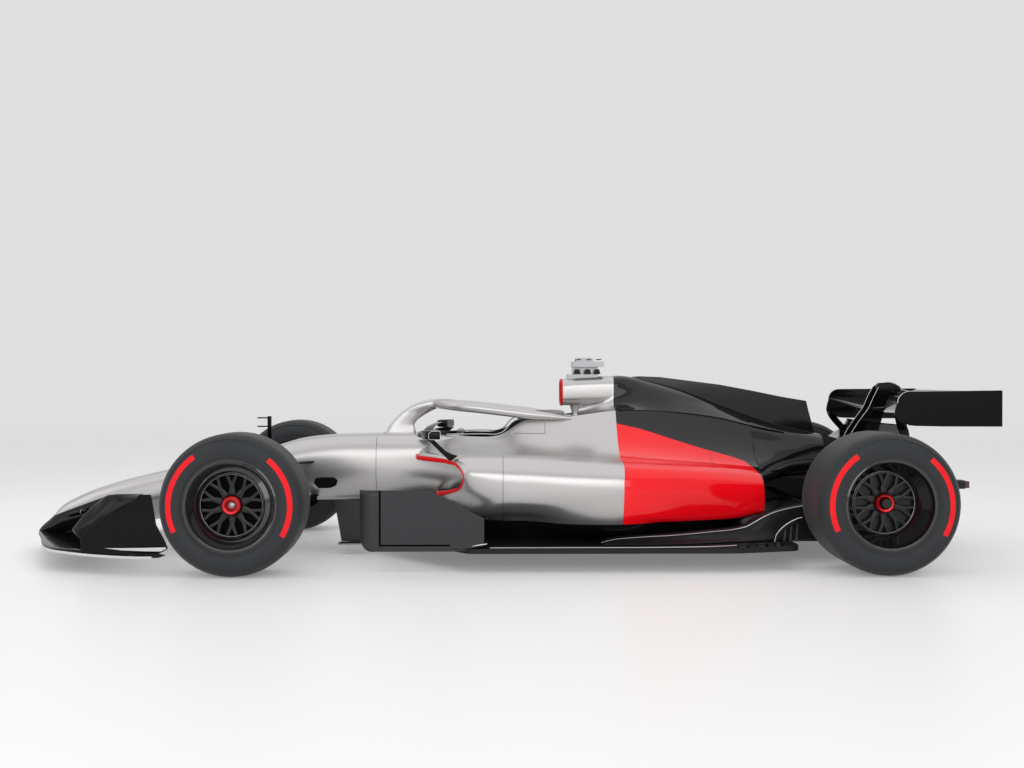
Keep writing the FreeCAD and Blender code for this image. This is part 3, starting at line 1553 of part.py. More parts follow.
def rear_flap():
    """The movable flap between the endplates."""
    half = (size.rear_wing_half - size.rear_endplate_thickness * HALF - size.moving_gap).value
    sections = [
        aerofoil(size.rear_flap_station.value, half * side, size.rear_flap_height.value,
                 size.rear_flap_chord.value, size.rear_flap_thickness.value,
                 size.rear_flap_pitch.value, size.wing_camber.value * HALF)
        for side in SIDES.values()
    ]
    return Part.makeLoft(sections, True, True)


HINGE_BACK_SHARE = 0.338
HINGE_UP_SHARE = 0.0506
hinge_station = size.rear_flap_station + size.rear_flap_chord * HINGE_BACK_SHARE
hinge_height = size.rear_flap_height + size.rear_flap_chord * HINGE_UP_SHARE
hinge_bore_length = size.rear_hinge_depth + size.moving_gap + size.overrun
flap_face = size.rear_wing_half - size.rear_endplate_thickness * HALF - size.moving_gap
TO_RIGHT = (0, 1, 0)
bores = [
    cylinder(f"flap_bore_{side_name}", size.rear_hinge_radius + size.running_gap,
             hinge_bore_length + size.seat_gap, hinge_station,
             (flap_face - size.rear_hinge_depth - size.seat_gap if side > 0
              else -flap_face - size.moving_gap - size.overrun),
             hinge_height, TO_RIGHT)
    for side_name, side in SIDES.items()
]
keep("rear_wing_flap", cut("rear_wing_flap", shape_feature("rear_flap_form", rear_flap()),
                           fuse("flap_bores", bores)))

plates = []
for side_name, side in SIDES.items():
    plate = new_body(f"rear_endplate_{side_name}")
    outer = (size.rear_wing_half * -side) - size.rear_endplate_thickness * HALF
    plate_outline = [
        (size.rear_endplate_front, size.rear_endplate_top, size.rear_endplate_round),
        (size.rear_endplate_front, (size.rear_endplate_base + size.rear_endplate_top) * HALF, size.rear_endplate_round),
        (size.rear_endplate_toe_station, size.rear_endplate_toe, size.overrun),
        (size.rear_endplate_heel_station, size.rear_endplate_base, size.rear_endplate_round),
        (size.rear_endplate_rear, size.rear_endplate_base),
        (size.rear_endplate_rear, size.rear_endplate_top),
    ]
    pad(plate, outline_on(plate, "XZ_Plane", outer, plate_outline), size.rear_endplate_thickness)
    pin = new_sketch(plate, "XZ_Plane", outer if side < 0 else outer + size.rear_endplate_thickness)
    draw_circle(pin, hinge_station, hinge_height, size.rear_hinge_radius)
    pad(plate, pin, size.rear_hinge_depth + size.moving_gap, reverse=side < 0)
    plates.append(plate)
keep("rear_wing_endplates", cut("rear_wing_endplates", fuse("rear_endplate_pair", plates), rear_plane_item))

pylons = []
for side_name, side in SIDES.items():
    pylon = new_body(f"rear_pylon_{side_name}")
    pylon_outline = [
        (size.pylon_foot_station, size.crash_tail_top),
        (size.pylon_foot_station + size.pylon_foot_length, size.crash_tail_top),
        (size.pylon_head_station + size.pylon_head_length,
         size.rear_plane_centre_height - size.wing_camber * HALF),
        (size.pylon_head_station, size.rear_plane_centre_height - size.wing_camber * HALF),
    ]
    outer = -size.crash_half * 0.8 * side - size.pylon_thickness * HALF
    pad(pylon, outline_on(pylon, "XZ_Plane", outer, pylon_outline), size.pylon_thickness)
    pylons.append(pylon)
actuator = new_body("wing_actuator")
actuator_outline = [
    (size.pod_front, size.rear_plane_centre_height),
    (size.pod_rear, size.rear_plane_centre_height),
    (size.pod_rear, size.pod_top - size.overrun, size.overrun * HALF),
    (size.pod_rear - size.overrun * HALF, size.pod_top, size.overrun * 0.3),
    (size.pod_front + size.overrun * 3, size.pod_top - size.overrun * 0.3, size.overrun),
]
pad(actuator, outline_on(actuator, "XZ_Plane", -size.pod_half, actuator_outline), size.pod_half * 2)
keep("rear_wing_pylons", cut("rear_wing_pylons", fuse("pylon_set", pylons + [actuator]),
                             fuse("pylon_room", [rear_plane_item, crash])))


# Mirrors on two stays each, and the camera platform on the airbox.
mirrors = []
for side_name, side in SIDES.items():
    mirror = new_body(f"mirror_{side_name}", size.mirror_station, size.mirror_across * side,
                      size.mirror_centre_height)
    housing = rounded([
        (-size.mirror_half, -size.mirror_height * HALF), (size.mirror_half, -size.mirror_height * HALF),
        (size.mirror_half, size.mirror_height * HALF), (-size.mirror_half, size.mirror_height * HALF),
    ], size.mirror_round)
    front = [(across * 0.8, up * 0.75, radius * 0.7) for across, up, radius in housing]
    loft(mirror, [outline_on(mirror, "YZ_Plane", -size.mirror_length * HALF, front),
                  outline_on(mirror, "YZ_Plane", 0, housing),
                  outline_on(mirror, "YZ_Plane", size.mirror_length * HALF, housing)])
    mirrors.append(mirror)


def bar(start, end, chord, thickness, end_chord=None):
    """A flat oval bar between two points, its ends cut square across the car."""
    length = math.copysign(1, end.y - start.y)
    return Part.makeLoft([
        ellipse(spot, width.value * HALF, thickness.value * HALF, Vector(1, 0, 0), Vector(0, length, 0))
        for spot, width in ((start, chord), (end, end_chord or chord))
    ], True, True)


def mirror_stays():
    """An arm in from each housing to the cockpit side and a leg down to the sidepod."""
    stays = []
    for side in SIDES.values():
        inner_face = size.mirror_across - size.mirror_half * 0.6
        stays.append(bar(
            point(size.mirror_station, inner_face * side, size.mirror_centre_height),
            point(size.mirror_station + size.overrun * 2, size.dash_half * 0.9 * side,
                  size.dash_top - size.overrun * 2),
            size.mirror_stay * 3, size.mirror_stay))
        stays.append(bar(
            point(size.mirror_station, inner_face * side, size.mirror_centre_height),
            point(size.mirror_station + size.overrun * 5, (inner_face - size.overrun * 5) * side,
                  size.pod_lip_top - size.overrun),
            size.mirror_stay * 3, size.mirror_stay))
    return Part.makeCompound(stays)


mirror_room = fuse("mirror_room", [cell_form] + [item for name, item in PIECES if name.startswith("sidepod")])
stay_form = shape_feature("mirror_stay_form", mirror_stays())
keep("mirrors", cut("mirrors", fuse("mirror_set", mirrors + [stay_form]), mirror_room))

camera_foot = size.airbox_top - size.airbox_wall * HALF
camera_base_top = size.cover_split_top + size.camera_base_height * HALF
plate_base = camera_base_top + size.camera_stem_height
camera_parts = [
    block("camera_base", (size.camera_base_front, -size.camera_base_half, camera_foot),
          (size.camera_base_rear, size.camera_base_half, camera_base_top)),
    block("camera_stem", (size.camera_plate_front, -size.camera_stem_half, camera_base_top),
          (size.camera_base_rear, size.camera_stem_half, plate_base)),
    block("camera_plate", (size.camera_plate_front, -size.camera_plate_half, plate_base),
          (size.camera_plate_rear, size.camera_plate_half, plate_base + size.camera_plate_height)),
]
fin_top = plate_base + size.camera_plate_height + size.camera_fin_height
for side_name, side in SIDES.items():
    centre = size.camera_plate_half * HALF * side
    camera_parts.append(block(
        f"camera_fin_{side_name}",
        (size.camera_plate_front + size.overrun, centre - size.camera_fin_thickness * HALF,
         plate_base + size.camera_plate_height),
        (size.camera_plate_rear - size.overrun * 3, centre + size.camera_fin_thickness * HALF, fin_top)))
keep("camera_platform", cut("camera_platform", fuse("camera_set", camera_parts), cover_form))

mast = [
    block("mast_stem", (size.mast_station - size.mast_chord, -size.mast_width * HALF,
                        size.axle_top - size.overrun),
          (size.mast_station, size.mast_width * HALF, size.axle_top + size.mast_height)),
]
for level in (0, 1):
    probe_height = size.axle_top + size.mast_height - size.overrun * HALF - size.probe_drop * level
    mast.append(cylinder(f"probe_{level}", size.probe_radius, size.probe_length,
                         size.mast_station - size.mast_chord * HALF, 0, probe_height, (-1, 0, 0)))
keep("sensor_mast", cut("sensor_mast", fuse("mast_set", mast), cell_form))


# Suspension: two wishbones a corner with their ball pins, and the rear drive shafts.
def ball_pin(station, across, level):
    """The housing outside an upright's boss and the pin that enters its bore."""
    boss_face = size.tyre_radius + (size.ball_spread + size.boss_height * HALF) * level
    up = Vector(0, 0, level)
    face = point(station, across, boss_face + size.seat_gap * level)
    housing = Part.makeCylinder(size.boss_radius.value, size.arm_thickness.value * 1.6, face, up)
    pin = Part.makeCylinder(size.kingpin_radius.value, (size.kingpin_length + size.seat_gap).value, face, -up)
    return housing.fuse(pin)


def wishbones(station, boss_half, inner_half, upper_inner, lower_inner, spread, forward):
    """Both wishbones of both sides of one axle."""
    arms = []
    for side in SIDES.values():
        for level, inner_height in ((1, upper_inner), (-1, lower_inner)):
            up = size.tyre_radius + (size.ball_spread + size.boss_height * HALF + size.arm_thickness * 1.1
                                     + size.seat_gap) * level
            ball = point(station, boss_half * side, up)
            arm = ball_pin(station, boss_half * side, level)
            for inner_station in (station - forward, station + spread):
                arm = arm.fuse(bar(ball, point(inner_station, inner_half * side, inner_height),
                                   size.arm_chord, size.arm_thickness))
            arms.append(arm)
    return Part.makeCompound(arms)


front_arms = shape_feature("front_wishbone_form", wishbones(
    as_length(0), kingpin_half, size.front_arm_inner_half, size.front_arm_upper_inner,
    size.front_arm_lower_inner, size.front_arm_spread, size.front_arm_spread * 0.6))
keep("front_wishbones", cut("front_wishbones", front_arms, fuse("front_arm_room", [cell_form, nose])))
rear_arms = shape_feature("rear_wishbone_form", wishbones(
    size.wheelbase, rear_boss_half, size.rear_arm_inner_half, size.rear_arm_upper_inner,
    size.rear_arm_lower_inner, size.rear_arm_spread, size.rear_arm_forward))
keep("rear_wishbones", cut("rear_wishbones", rear_arms,
                            fuse("rear_arm_room", [gearbox, crash])))


def drive_shafts():
    """A plain shaft from the gearbox to the back of each rear upright."""
    shafts = []
    inner = size.gearbox_tail_half * HALF
    outer = rear_boss_half - size.upright_width * HALF - size.seat_gap
    for side in SIDES.values():
        shafts.append(Part.makeCylinder(
            size.shaft_radius.value, (outer - inner).value, point(size.wheelbase, inner * side, size.tyre_radius),
            Vector(0, side, 0)))
    return Part.makeCompound(shafts)


shaft_form = shape_feature("drive_shaft_form", drive_shafts())
keep("drive_shafts", cut("drive_shafts", shaft_form, fuse("shaft_room", [gearbox, diffuser])))


doc.recompute()
for item in doc.Objects:
    if {"Invalid", "Error"} & set(item.State):
        raise RuntimeError(f"{item.Label} did not build")
for name, item in PIECES:
    if item.Shape.isNull() or not item.Shape.isValid():
        raise RuntimeError(f"{name} has no valid shape")

os.makedirs("parts", exist_ok=True)
for name, item in PIECES:
    item.Shape.exportStep(f"parts/{name}.step")
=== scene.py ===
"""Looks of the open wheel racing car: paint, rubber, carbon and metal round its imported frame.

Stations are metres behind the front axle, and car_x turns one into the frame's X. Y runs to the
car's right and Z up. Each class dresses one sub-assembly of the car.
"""

import json
import logging
import math
from collections.abc import Callable, Sequence
from dataclasses import dataclass
from enum import Enum

import bmesh
import bpy
import numpy as np
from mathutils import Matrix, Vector

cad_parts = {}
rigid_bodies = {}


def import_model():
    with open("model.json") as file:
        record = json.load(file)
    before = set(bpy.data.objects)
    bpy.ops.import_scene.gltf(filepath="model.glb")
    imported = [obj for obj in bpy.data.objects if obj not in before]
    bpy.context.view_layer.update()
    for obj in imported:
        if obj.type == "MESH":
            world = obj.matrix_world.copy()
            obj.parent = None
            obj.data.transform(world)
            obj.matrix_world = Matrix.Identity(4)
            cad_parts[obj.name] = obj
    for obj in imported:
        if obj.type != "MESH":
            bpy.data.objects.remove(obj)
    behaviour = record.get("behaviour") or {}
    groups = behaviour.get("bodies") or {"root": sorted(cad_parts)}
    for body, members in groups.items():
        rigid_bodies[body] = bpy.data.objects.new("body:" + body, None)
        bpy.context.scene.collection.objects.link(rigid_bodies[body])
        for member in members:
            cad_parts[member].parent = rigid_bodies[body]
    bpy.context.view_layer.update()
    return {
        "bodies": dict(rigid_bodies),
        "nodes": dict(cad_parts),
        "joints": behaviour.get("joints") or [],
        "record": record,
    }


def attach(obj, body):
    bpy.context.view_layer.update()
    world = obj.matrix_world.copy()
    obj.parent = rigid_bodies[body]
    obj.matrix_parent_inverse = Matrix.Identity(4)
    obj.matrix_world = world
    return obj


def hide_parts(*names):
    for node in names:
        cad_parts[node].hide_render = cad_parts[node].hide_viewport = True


LOG = logging.getLogger("racing_car")

FRONT_AXLE_X = -1.3775
WHEELBASE = 3.3
WHEEL_HEIGHT = 0.36
FLOOR_TOP = 0.131
MERGE_DISTANCE = 0.00004
NO_LENGTH = 1e-9
OPENING_ANGLE = 38
CORNER_STEPS = 8

Point = tuple[float, float, float]
Pair = tuple[float, float]
Points = Sequence[Point] | np.ndarray
Value = float | bpy.types.NodeSocket
Colour = tuple[float, ...] | bpy.types.NodeSocket


def car_x(station: float) -> float:
    """Frame X of a station behind the front axle."""
    return station + FRONT_AXLE_X


class Side(Enum):
    """Left and right of the car, with the sign of Y."""

    LEFT = -1
    RIGHT = 1

    @property
    def word(self) -> str:
        """The side as a word for piece names."""
        return self.name.lower()


# Materials


def rgba(colour: Point, share: float = 1.0, lift: float = 0.0, most: float = 1.0) -> tuple[float, ...]:
    """A colour made paler or darker, with no part above the most that is allowed."""
    return (*(min(most, part * share + lift) for part in colour), 1.0)


class Graph:
    """Adds nodes to a shader tree in short calls."""

    def __init__(self, tree: bpy.types.NodeTree) -> None:
        """Keeps the tree that the nodes go into.

        Args:
            tree: The tree of a material or a node group.
        """
        self.tree = tree

    def add(self, kind: str, inputs: dict | None = None, **settings: object) -> bpy.types.Node:
        """Adds one node and fills its inputs.

        Args:
            kind: The node's type name.
            inputs: Input names or indices with a value or a socket each.
            **settings: Properties of the node itself.

        Returns:
            The new node.
        """
        node = self.tree.nodes.new(kind)
        for key, value in settings.items():
            setattr(node, key, value)
        self.fill(node, inputs or {})
        return node

    def fill(self, node: bpy.types.Node, inputs: dict) -> None:
        """Sets inputs to plain values, and links those whose value is a socket.

        Args:
            node: The node that takes them.
            inputs: Input names or indices with a value or a socket each.
        """
        for key, value in inputs.items():
            if isinstance(value, bpy.types.NodeSocket):
                self.tree.links.new(value, node.inputs[key])
            else:
                node.inputs[key].default_value = value

    def math(self, operation: str, first: Value, second: Value = 0.0,
             clamp: bool = False) -> bpy.types.NodeSocket:
        """One sum on two values or sockets.

        Args:
            operation: The sum's name, such as MULTIPLY.
            first: A number or a socket.
            second: A number or a socket.
            clamp: Whether the result is held between 0 and 1.

        Returns:
            The socket with the result.
        """
        node = self.add("ShaderNodeMath", {0: first, 1: second}, operation=operation, use_clamp=clamp)
        return node.outputs[0]

    def plus(self, first: Value, second: Value, clamp: bool = False) -> bpy.types.NodeSocket:
        """The sum of two values."""
        return self.math("ADD", first, second, clamp)

    def minus(self, first: Value, second: Value, clamp: bool = False) -> bpy.types.NodeSocket:
        """The first value less the second."""
        return self.math("SUBTRACT", first, second, clamp)

    def times(self, first: Value, second: Value, clamp: bool = False) -> bpy.types.NodeSocket:
        """The product of two values."""
        return self.math("MULTIPLY", first, second, clamp)

    def larger(self, first: Value, second: Value) -> bpy.types.NodeSocket:
        """The larger of two values."""
        return self.math("MAXIMUM", first, second)

    def step(self, value: Value, edge: Value, width: float = 0.0012) -> bpy.types.NodeSocket:
        """0 below an edge and 1 above it, with a short ramp between."""
        return self.plus(self.math("DIVIDE", self.minus(value, edge), width), 0.5, clamp=True)

    def between(self, value: Value, low: float, high: float) -> bpy.types.NodeSocket:
        """1 where a value lies between two others, 0 elsewhere."""
        return self.times(self.math("GREATER_THAN", value, low), self.math("LESS_THAN", value, high))

    def near(self, value: Value, middle: float, reach: float) -> bpy.types.NodeSocket:
        """1 where a value is within reach of the middle, 0 elsewhere."""
        return self.math("LESS_THAN", self.math("ABSOLUTE", self.minus(value, middle)), reach)

    def mix(self, factor: Value, first: Colour, second: Colour) -> bpy.types.NodeSocket:
        """A colour between two colours, the first where the factor is 0."""
        return self.add("ShaderNodeMix", {0: factor, 6: first, 7: second}, data_type="RGBA").outputs[2]

    def curve(self, value: Value, knots: list[Pair]) -> bpy.types.NodeSocket:
        """A curve between 0 and 1.

        Args:
            value: Where along the curve.
            knots: What it passes through, its two ends first.

        Returns:
            The socket with the curve's height.
        """
        node = self.add("ShaderNodeFloatCurve", {1: value})
        line = node.mapping.curves[0]
        for index, (across, up) in enumerate(knots):
            spot = line.points[index] if index < 2 else line.points.new(across, up)
            spot.location = (across, up)
            spot.handle_type = "VECTOR"
        node.mapping.update()
        return node.outputs[0]

    def place(self) -> bpy.types.NodeSocket:
        """Where a point of the surface lies."""
        return self.add("ShaderNodeTexCoord").outputs["Object"]

    def axes(self) -> tuple[bpy.types.NodeSocket, ...]:
        """X, Y and Z of a point of the surface."""
        return tuple(self.add("ShaderNodeSeparateXYZ", {0: self.place()}).outputs)

    def noise(self, place: bpy.types.NodeSocket, scale: Value, detail: float,
              roughness: float = 0.5) -> bpy.types.NodeSocket:
        """Soft noise about 0.5."""
        return self.add("ShaderNodeTexNoise", {"Vector": place, "Scale": scale, "Detail": detail,
                                               "Roughness": roughness}).outputs[0]

    def bump(self, height: bpy.types.NodeSocket, strength: float, distance: float) -> bpy.types.NodeSocket:
        """A normal tilted by a height."""
        return self.add("ShaderNodeBump", {"Height": height, "Strength": strength,
                                           "Distance": distance}).outputs[0]


def new_group(name: str, inputs: dict[str, float], outputs: tuple[str, ...]) -> tuple:
    """Starts a node group with named inputs and outputs.

    Args:
        name: The group's name.
        inputs: Input names with their usual values.
        outputs: Output names.

    Returns:
        The group, a Graph for it, the sockets of its inputs and its output node.
    """
    group = bpy.data.node_groups.new(name, "ShaderNodeTree")
    for label, value in inputs.items():
        socket = group.interface.new_socket(label, in_out="INPUT", socket_type="NodeSocketFloat")
        socket.default_value = value
    for label in outputs:
        group.interface.new_socket(label, in_out="OUTPUT", socket_type="NodeSocketFloat")
    graph = Graph(group)
    return group, graph, graph.add("NodeGroupInput").outputs, graph.add("NodeGroupOutput")


class Effects:
    """The node groups that several materials share."""

    split_x = 0.578
    split_sway = 0.05
    split_knots = [(0.0, 0.5), (1.0, 0.9), (0.239, 0.5), (0.458, 0.56), (0.533, 0.7), (0.562, 0.64),
                   (0.738, 0.76)]
    crown_start = 0.6
    crown_length = 0.85
    crown_knots = [(0.0, 0.746), (1.0, 0.2), (0.18, 0.712), (0.37, 0.660), (0.57, 0.606), (0.762, 0.561),
                   (0.862, 0.532), (0.918, 0.491), (0.944, 0.455), (0.951, 0.3)]
    sill_z = 0.234
    sill_start = -0.25
    nose_black_end = -2.2875
    nose_slope = 0.367
    nose_rise = 1.1625
    upright_seams = ((-0.0195, 0.2, 0.59), (-1.6275, 0.2, 0.6), (-0.737, 0.2, 0.66), (0.2145, 0.69, 0.745),
                     (1.13, 0.5, 0.95))
    upright_reach = 0.0011
    level_seam = (0.69, 0.04, 0.2145)
    level_reach = 0.0012

    def __init__(self) -> None:
        """Builds every group once."""
        self.flakes = self.make_flakes()
        self.handling = self.make_handling()
        self.twill = self.make_twill()
        self.rubber = self.make_rubber()
        self.livery = self.make_livery()
        self.seams = self.make_seams()

    def make_flakes(self) -> bpy.types.NodeTree:
        """Metal flakes in paint: a fine speckle with a slow cloud under it.

        Returns:
            The group.
        """
        group, graph, enter, leave = new_group("Flakes", {"Scale": 900.0, "Spread": 0.1}, ("Tone",))
        place = graph.place()
        fine = graph.add("ShaderNodeTexVoronoi", {"Vector": place, "Scale": enter["Scale"]})
        grey = graph.add("ShaderNodeRGBToBW", {0: fine.outputs["Color"]}).outputs[0]
        both = graph.plus(graph.times(grey, 0.7), graph.times(graph.noise(place, 2.2, 2.0), 0.3))
        tone = graph.plus(graph.times(graph.minus(both, 0.5), enter["Spread"]), 1.0)
        graph.fill(leave, {"Tone": tone})
        return group

    def make_handling(self) -> bpy.types.NodeTree:
        """Faint wipe marks that vary the gloss.

        Returns:
            The group.
        """
        group, graph, enter, leave = new_group("Handling", {"Gloss": 0.2, "Marks": 0.06, "Scale": 3.0},
                                               ("Roughness",))
        place = graph.place()
        broad = graph.noise(place, enter["Scale"], 5.0, 0.6)
        blend = graph.plus(graph.times(broad, 0.75), graph.times(graph.noise(place, 160.0, 2.0), 0.25))
        swing = graph.times(graph.minus(blend, 0.5), enter["Marks"])
        graph.fill(leave, {"Roughness": graph.plus(enter["Gloss"], swing, clamp=True)})
        return group

    def make_twill(self) -> bpy.types.NodeTree:
        """Carbon cloth in a two by two twill.

        Returns:
            The group.
        """
        group, graph, enter, leave = new_group("Twill", {"Tow": 0.0035}, ("Tone", "Height"))
        x, y, z = graph.axes()
        along = graph.math("DIVIDE", x, enter["Tow"])
        across = graph.math("DIVIDE", graph.plus(y, z), enter["Tow"])
        turn = graph.math("WRAP", graph.plus(along, graph.math("FLOOR", across)), 4.0)
        turn.node.inputs[2].default_value = 0.0
        over = graph.math("LESS_THAN", turn, 2.0)
        bow = graph.math("PINGPONG", graph.times(turn, 0.5), 0.5)
        graph.fill(leave, {"Tone": over, "Height": graph.plus(graph.times(over, 0.3), bow)})
        return group

    def make_rubber(self) -> bpy.types.NodeTree:
        """Moulded rubber: fine rings round the axle and a dry, scuffed bloom.

        Returns:
            The group.
        """
        group, graph, enter, leave = new_group("Rubber", {"Centre X": 0.0, "Centre Z": WHEEL_HEIGHT},
                                               ("Tone", "Height"))
        place = graph.place()
        x, _, z = graph.axes()
        from_x, from_z = graph.minus(x, enter["Centre X"]), graph.minus(z, enter["Centre Z"])
        radius = graph.math("SQRT", graph.plus(graph.math("POWER", from_x, 2.0),
                                               graph.math("POWER", from_z, 2.0)))
        rings = graph.math("SINE", graph.times(radius, 4200.0))
        grain = graph.noise(place, 420.0, 4.0)
        bloom = graph.noise(place, 9.0, 6.0, 0.65)
        graph.fill(leave, {"Height": graph.plus(graph.times(rings, 0.25), graph.times(grain, 0.8)),
                           "Tone": graph.plus(graph.times(bloom, 0.8), 0.6)})
        return group

    def make_livery(self) -> bpy.types.NodeTree:
        """Where the bodywork is black and where it is red; it is silver elsewhere.

        Returns:
            The group.
        """
        group, graph, _, leave = new_group("Livery", {}, ("Black", "Red"))
        x, _, z = graph.axes()
        split = graph.plus(graph.times(graph.curve(z, self.split_knots), self.split_sway), self.split_x)
        behind = graph.step(x, split)
        reach = graph.math("DIVIDE", graph.minus(x, self.crown_start), self.crown_length, clamp=True)
        under_crown = graph.step(graph.curve(reach, self.crown_knots), z)
        red = graph.times(graph.times(behind, under_crown), graph.step(z, self.sill_z))
        sill = graph.times(graph.step(self.sill_z, z), graph.step(x, self.sill_start))
        nose_line = graph.plus(graph.times(x, self.nose_slope), self.nose_rise)
        nose = graph.times(graph.step(nose_line, z), graph.step(self.nose_black_end, x))
        graph.fill(leave, {"Black": graph.larger(graph.larger(behind, sill), nose), "Red": red})
        return group

    def make_seams(self) -> bpy.types.NodeTree:
        """Gaps between body panels, as thin dark lines.

        Returns:
            The group.
        """
        group, graph, _, leave = new_group("Seams", {}, ("Mask", "Height"))
        x, _, z = graph.axes()
        mask = 0.0
        for station, low, high in self.upright_seams:
            seam = graph.times(graph.near(x, station, self.upright_reach), graph.between(z, low, high))
            mask = graph.larger(mask, seam)
        height, start, end = self.level_seam
        seam = graph.times(graph.near(z, height, self.level_reach), graph.between(x, start, end))
        mask = graph.larger(mask, seam)
        graph.fill(leave, {"Mask": mask, "Height": graph.minus(1.0, mask)})
        return group


@dataclass(frozen=True)
class Finish:
    """One surface finish of the car, with the record's slot that it stands for."""

    name: str
    slot: str
    colour: Point
    gloss: float
    metallic: float = 0.0
    coat: float = 0.0
    marks: float = 0.05
    sheen: float = 0.0
    specular: float = 0.5
    weave: float = 0.0
    grain: float = 0.0
    grain_scale: float = 300.0


SILVER = (0.50, 0.488, 0.484)
RED = (0.94, 0.003, 0.010)
BLACK = (0.006, 0.006, 0.007)
SEAM = (0.02, 0.02, 0.02)
RUBBER = (0.023, 0.025, 0.028)
STRIPE = (0.90, 0.002, 0.008)


class Finishes:
    """Builds each material once and hands it out by its name."""

    plain = (
        Finish("gloss_black", "gloss_black", (0.002, 0.002, 0.003), 0.1, coat=0.1, weave=0.0006, marks=0.04,
               specular=0.1),
        # Pale finish of the thin lines and strips along dark edges: painted highlights where light catches
        # an edge.
        Finish("wing_edge", "metal", (0.78, 0.78, 0.80), 0.25, metallic=0.2, coat=0.3, grain=0.01),
        Finish("satin_dark", "dark_carbon", (0.035, 0.036, 0.039), 0.36, metallic=0.2, coat=0.05,
               specular=0.3, grain=0.02, grain_scale=500.0),
        Finish("matt_carbon", "dark_carbon", (0.010, 0.010, 0.011), 0.42, coat=0.08, specular=0.25,
               weave=0.012),
        Finish("floor_carbon", "dark_carbon", (0.010, 0.010, 0.011), 0.42, coat=0.05, specular=0.18,
               weave=0.006),
        Finish("red_lip", "red_paint", (0.95, 0.003, 0.010), 0.3, coat=0.05, specular=0.1, grain=0.02),
        Finish("rim_black", "rim_black", (0.004, 0.004, 0.005), 0.14, coat=1.0),
        Finish("spoke_black", "rim_black", (0.012, 0.012, 0.013), 0.42, coat=0.05, specular=0.3,
               grain=0.03),
        Finish("nut_red", "red_paint", (0.72, 0.008, 0.016), 0.28, metallic=0.75, coat=0.3, grain=0.02),
        Finish("grey_metal", "metal", (0.36, 0.36, 0.37), 0.3, metallic=1.0, grain=0.05, grain_scale=240.0),
        Finish("pale_metal", "metal", (0.62, 0.61, 0.60), 0.34, metallic=0.7, coat=0.1, grain=0.02),
        Finish("exhaust_metal", "metal", (0.30, 0.25, 0.21), 0.33, metallic=1.0, grain=0.06,
               grain_scale=120.0),
        Finish("plank_wood", "dark_carbon", (0.055, 0.045, 0.036), 0.62, grain=0.1, grain_scale=60.0),
        Finish("headrest_foam", "padding", (0.34, 0.30, 0.31), 0.75, sheen=0.4, grain=0.5,
               grain_scale=620.0),
        Finish("grip_suede", "padding", (0.03, 0.03, 0.032), 0.85, sheen=0.5, grain=0.4, grain_scale=700.0),
        # Near-black with almost no reflection: painted shade, laid in openings, slots, wheel pockets and
        # the deep ends of ducts.
        Finish("inside_black", "dark_carbon", (0.002, 0.002, 0.0025), 0.8, specular=0.08, grain=0.1),
        Finish("mirror_glass", "metal", (0.10, 0.11, 0.13), 0.04, metallic=1.0, marks=0.02),
        Finish("lamp_lens", "red_paint", (0.06, 0.004, 0.005), 0.18, coat=0.8, marks=0.02),
    )

    def __init__(self) -> None:
        """Makes the shared effects, then every material."""
        self.effects = Effects()
        self.made = {finish.name: self.plain_material(finish) for finish in self.plain}
        self.slots = {finish.name: finish.slot for finish in self.plain}
        self.made["body_paint"] = self.body_paint()
        self.slots["body_paint"] = "body_paint"
        for end, station in (("front", 0.0), ("rear", WHEELBASE)):
            for word, colour in (("rubber", RUBBER), ("stripe", STRIPE)):
                self.made[f"{end}_{word}"] = self.tyre_material(f"{end}_{word}", station, colour)
                self.slots[f"{end}_{word}"] = "tyre_rubber"

    def __getitem__(self, name: str) -> bpy.types.Material:
        """The material with that name."""
        return self.made[name]

    @staticmethod
    def start(name: str) -> tuple[bpy.types.Material, Graph, bpy.types.Node]:
        """Starts an empty material.

        Args:
            name: The material's name.

        Returns:
            The material, a Graph for it and its Principled shader.
        """
        material = bpy.data.materials.new(name)
        material.use_nodes = True
        return material, Graph(material.node_tree), material.node_tree.nodes["Principled BSDF"]

    @staticmethod
    def effect(graph: Graph, group: bpy.types.NodeTree, **values: float) -> dict[str, bpy.types.NodeSocket]:
        """Places one of the shared effects in a material.

        Args:
            graph: The material's graph.
            group: The effect.
            **values: Its inputs, with _ for a space.

        Returns:
            The effect's outputs by name.
        """
        node = graph.add("ShaderNodeGroup")
        node.node_tree = group
        graph.fill(node, {label.replace("_", " "): value for label, value in values.items()})
        return {output.name: output for output in node.outputs}

    def plain_material(self, finish: Finish) -> bpy.types.Material:
        """A finish of one colour with its grain, weave, marks and coat.

        Args:
            finish: The finish to build.

        Returns:
            Its material.
        """
        material, graph, shader = self.start(finish.name)
        wear = self.effect(graph, self.effects.handling, Gloss=finish.gloss, Marks=finish.marks)
        tone = self.effect(graph, self.effects.flakes, Scale=finish.grain_scale, Spread=0.18)["Tone"]
        shade = graph.mix(graph.minus(tone, 0.55, clamp=True), rgba(finish.colour, 0.55),
                          rgba(finish.colour, 1.12, 0.004))
        if finish.weave:
            twill = self.effect(graph, self.effects.twill)
            tint = graph.times(twill["Tone"], min(1.0, finish.weave * 18.0))
            shade = graph.mix(tint, shade, rgba(finish.colour, 2.2, 0.004))
            relief = graph.bump(twill["Height"], 0.05 + finish.weave * 8.0, 0.0006)
            graph.fill(shader, {"Normal": relief})
        elif finish.grain:
            grain = graph.noise(graph.place(), finish.grain_scale, 3.0)
            graph.fill(shader, {"Normal": graph.bump(grain, finish.grain, 0.0006)})
        graph.fill(shader, {"Base Color": shade, "Roughness": wear["Roughness"],
                            "Metallic": finish.metallic, "Coat Weight": finish.coat,
                            "Coat Roughness": 0.04, "Sheen Weight": finish.sheen,
                            "Specular IOR Level": finish.specular})
        return material

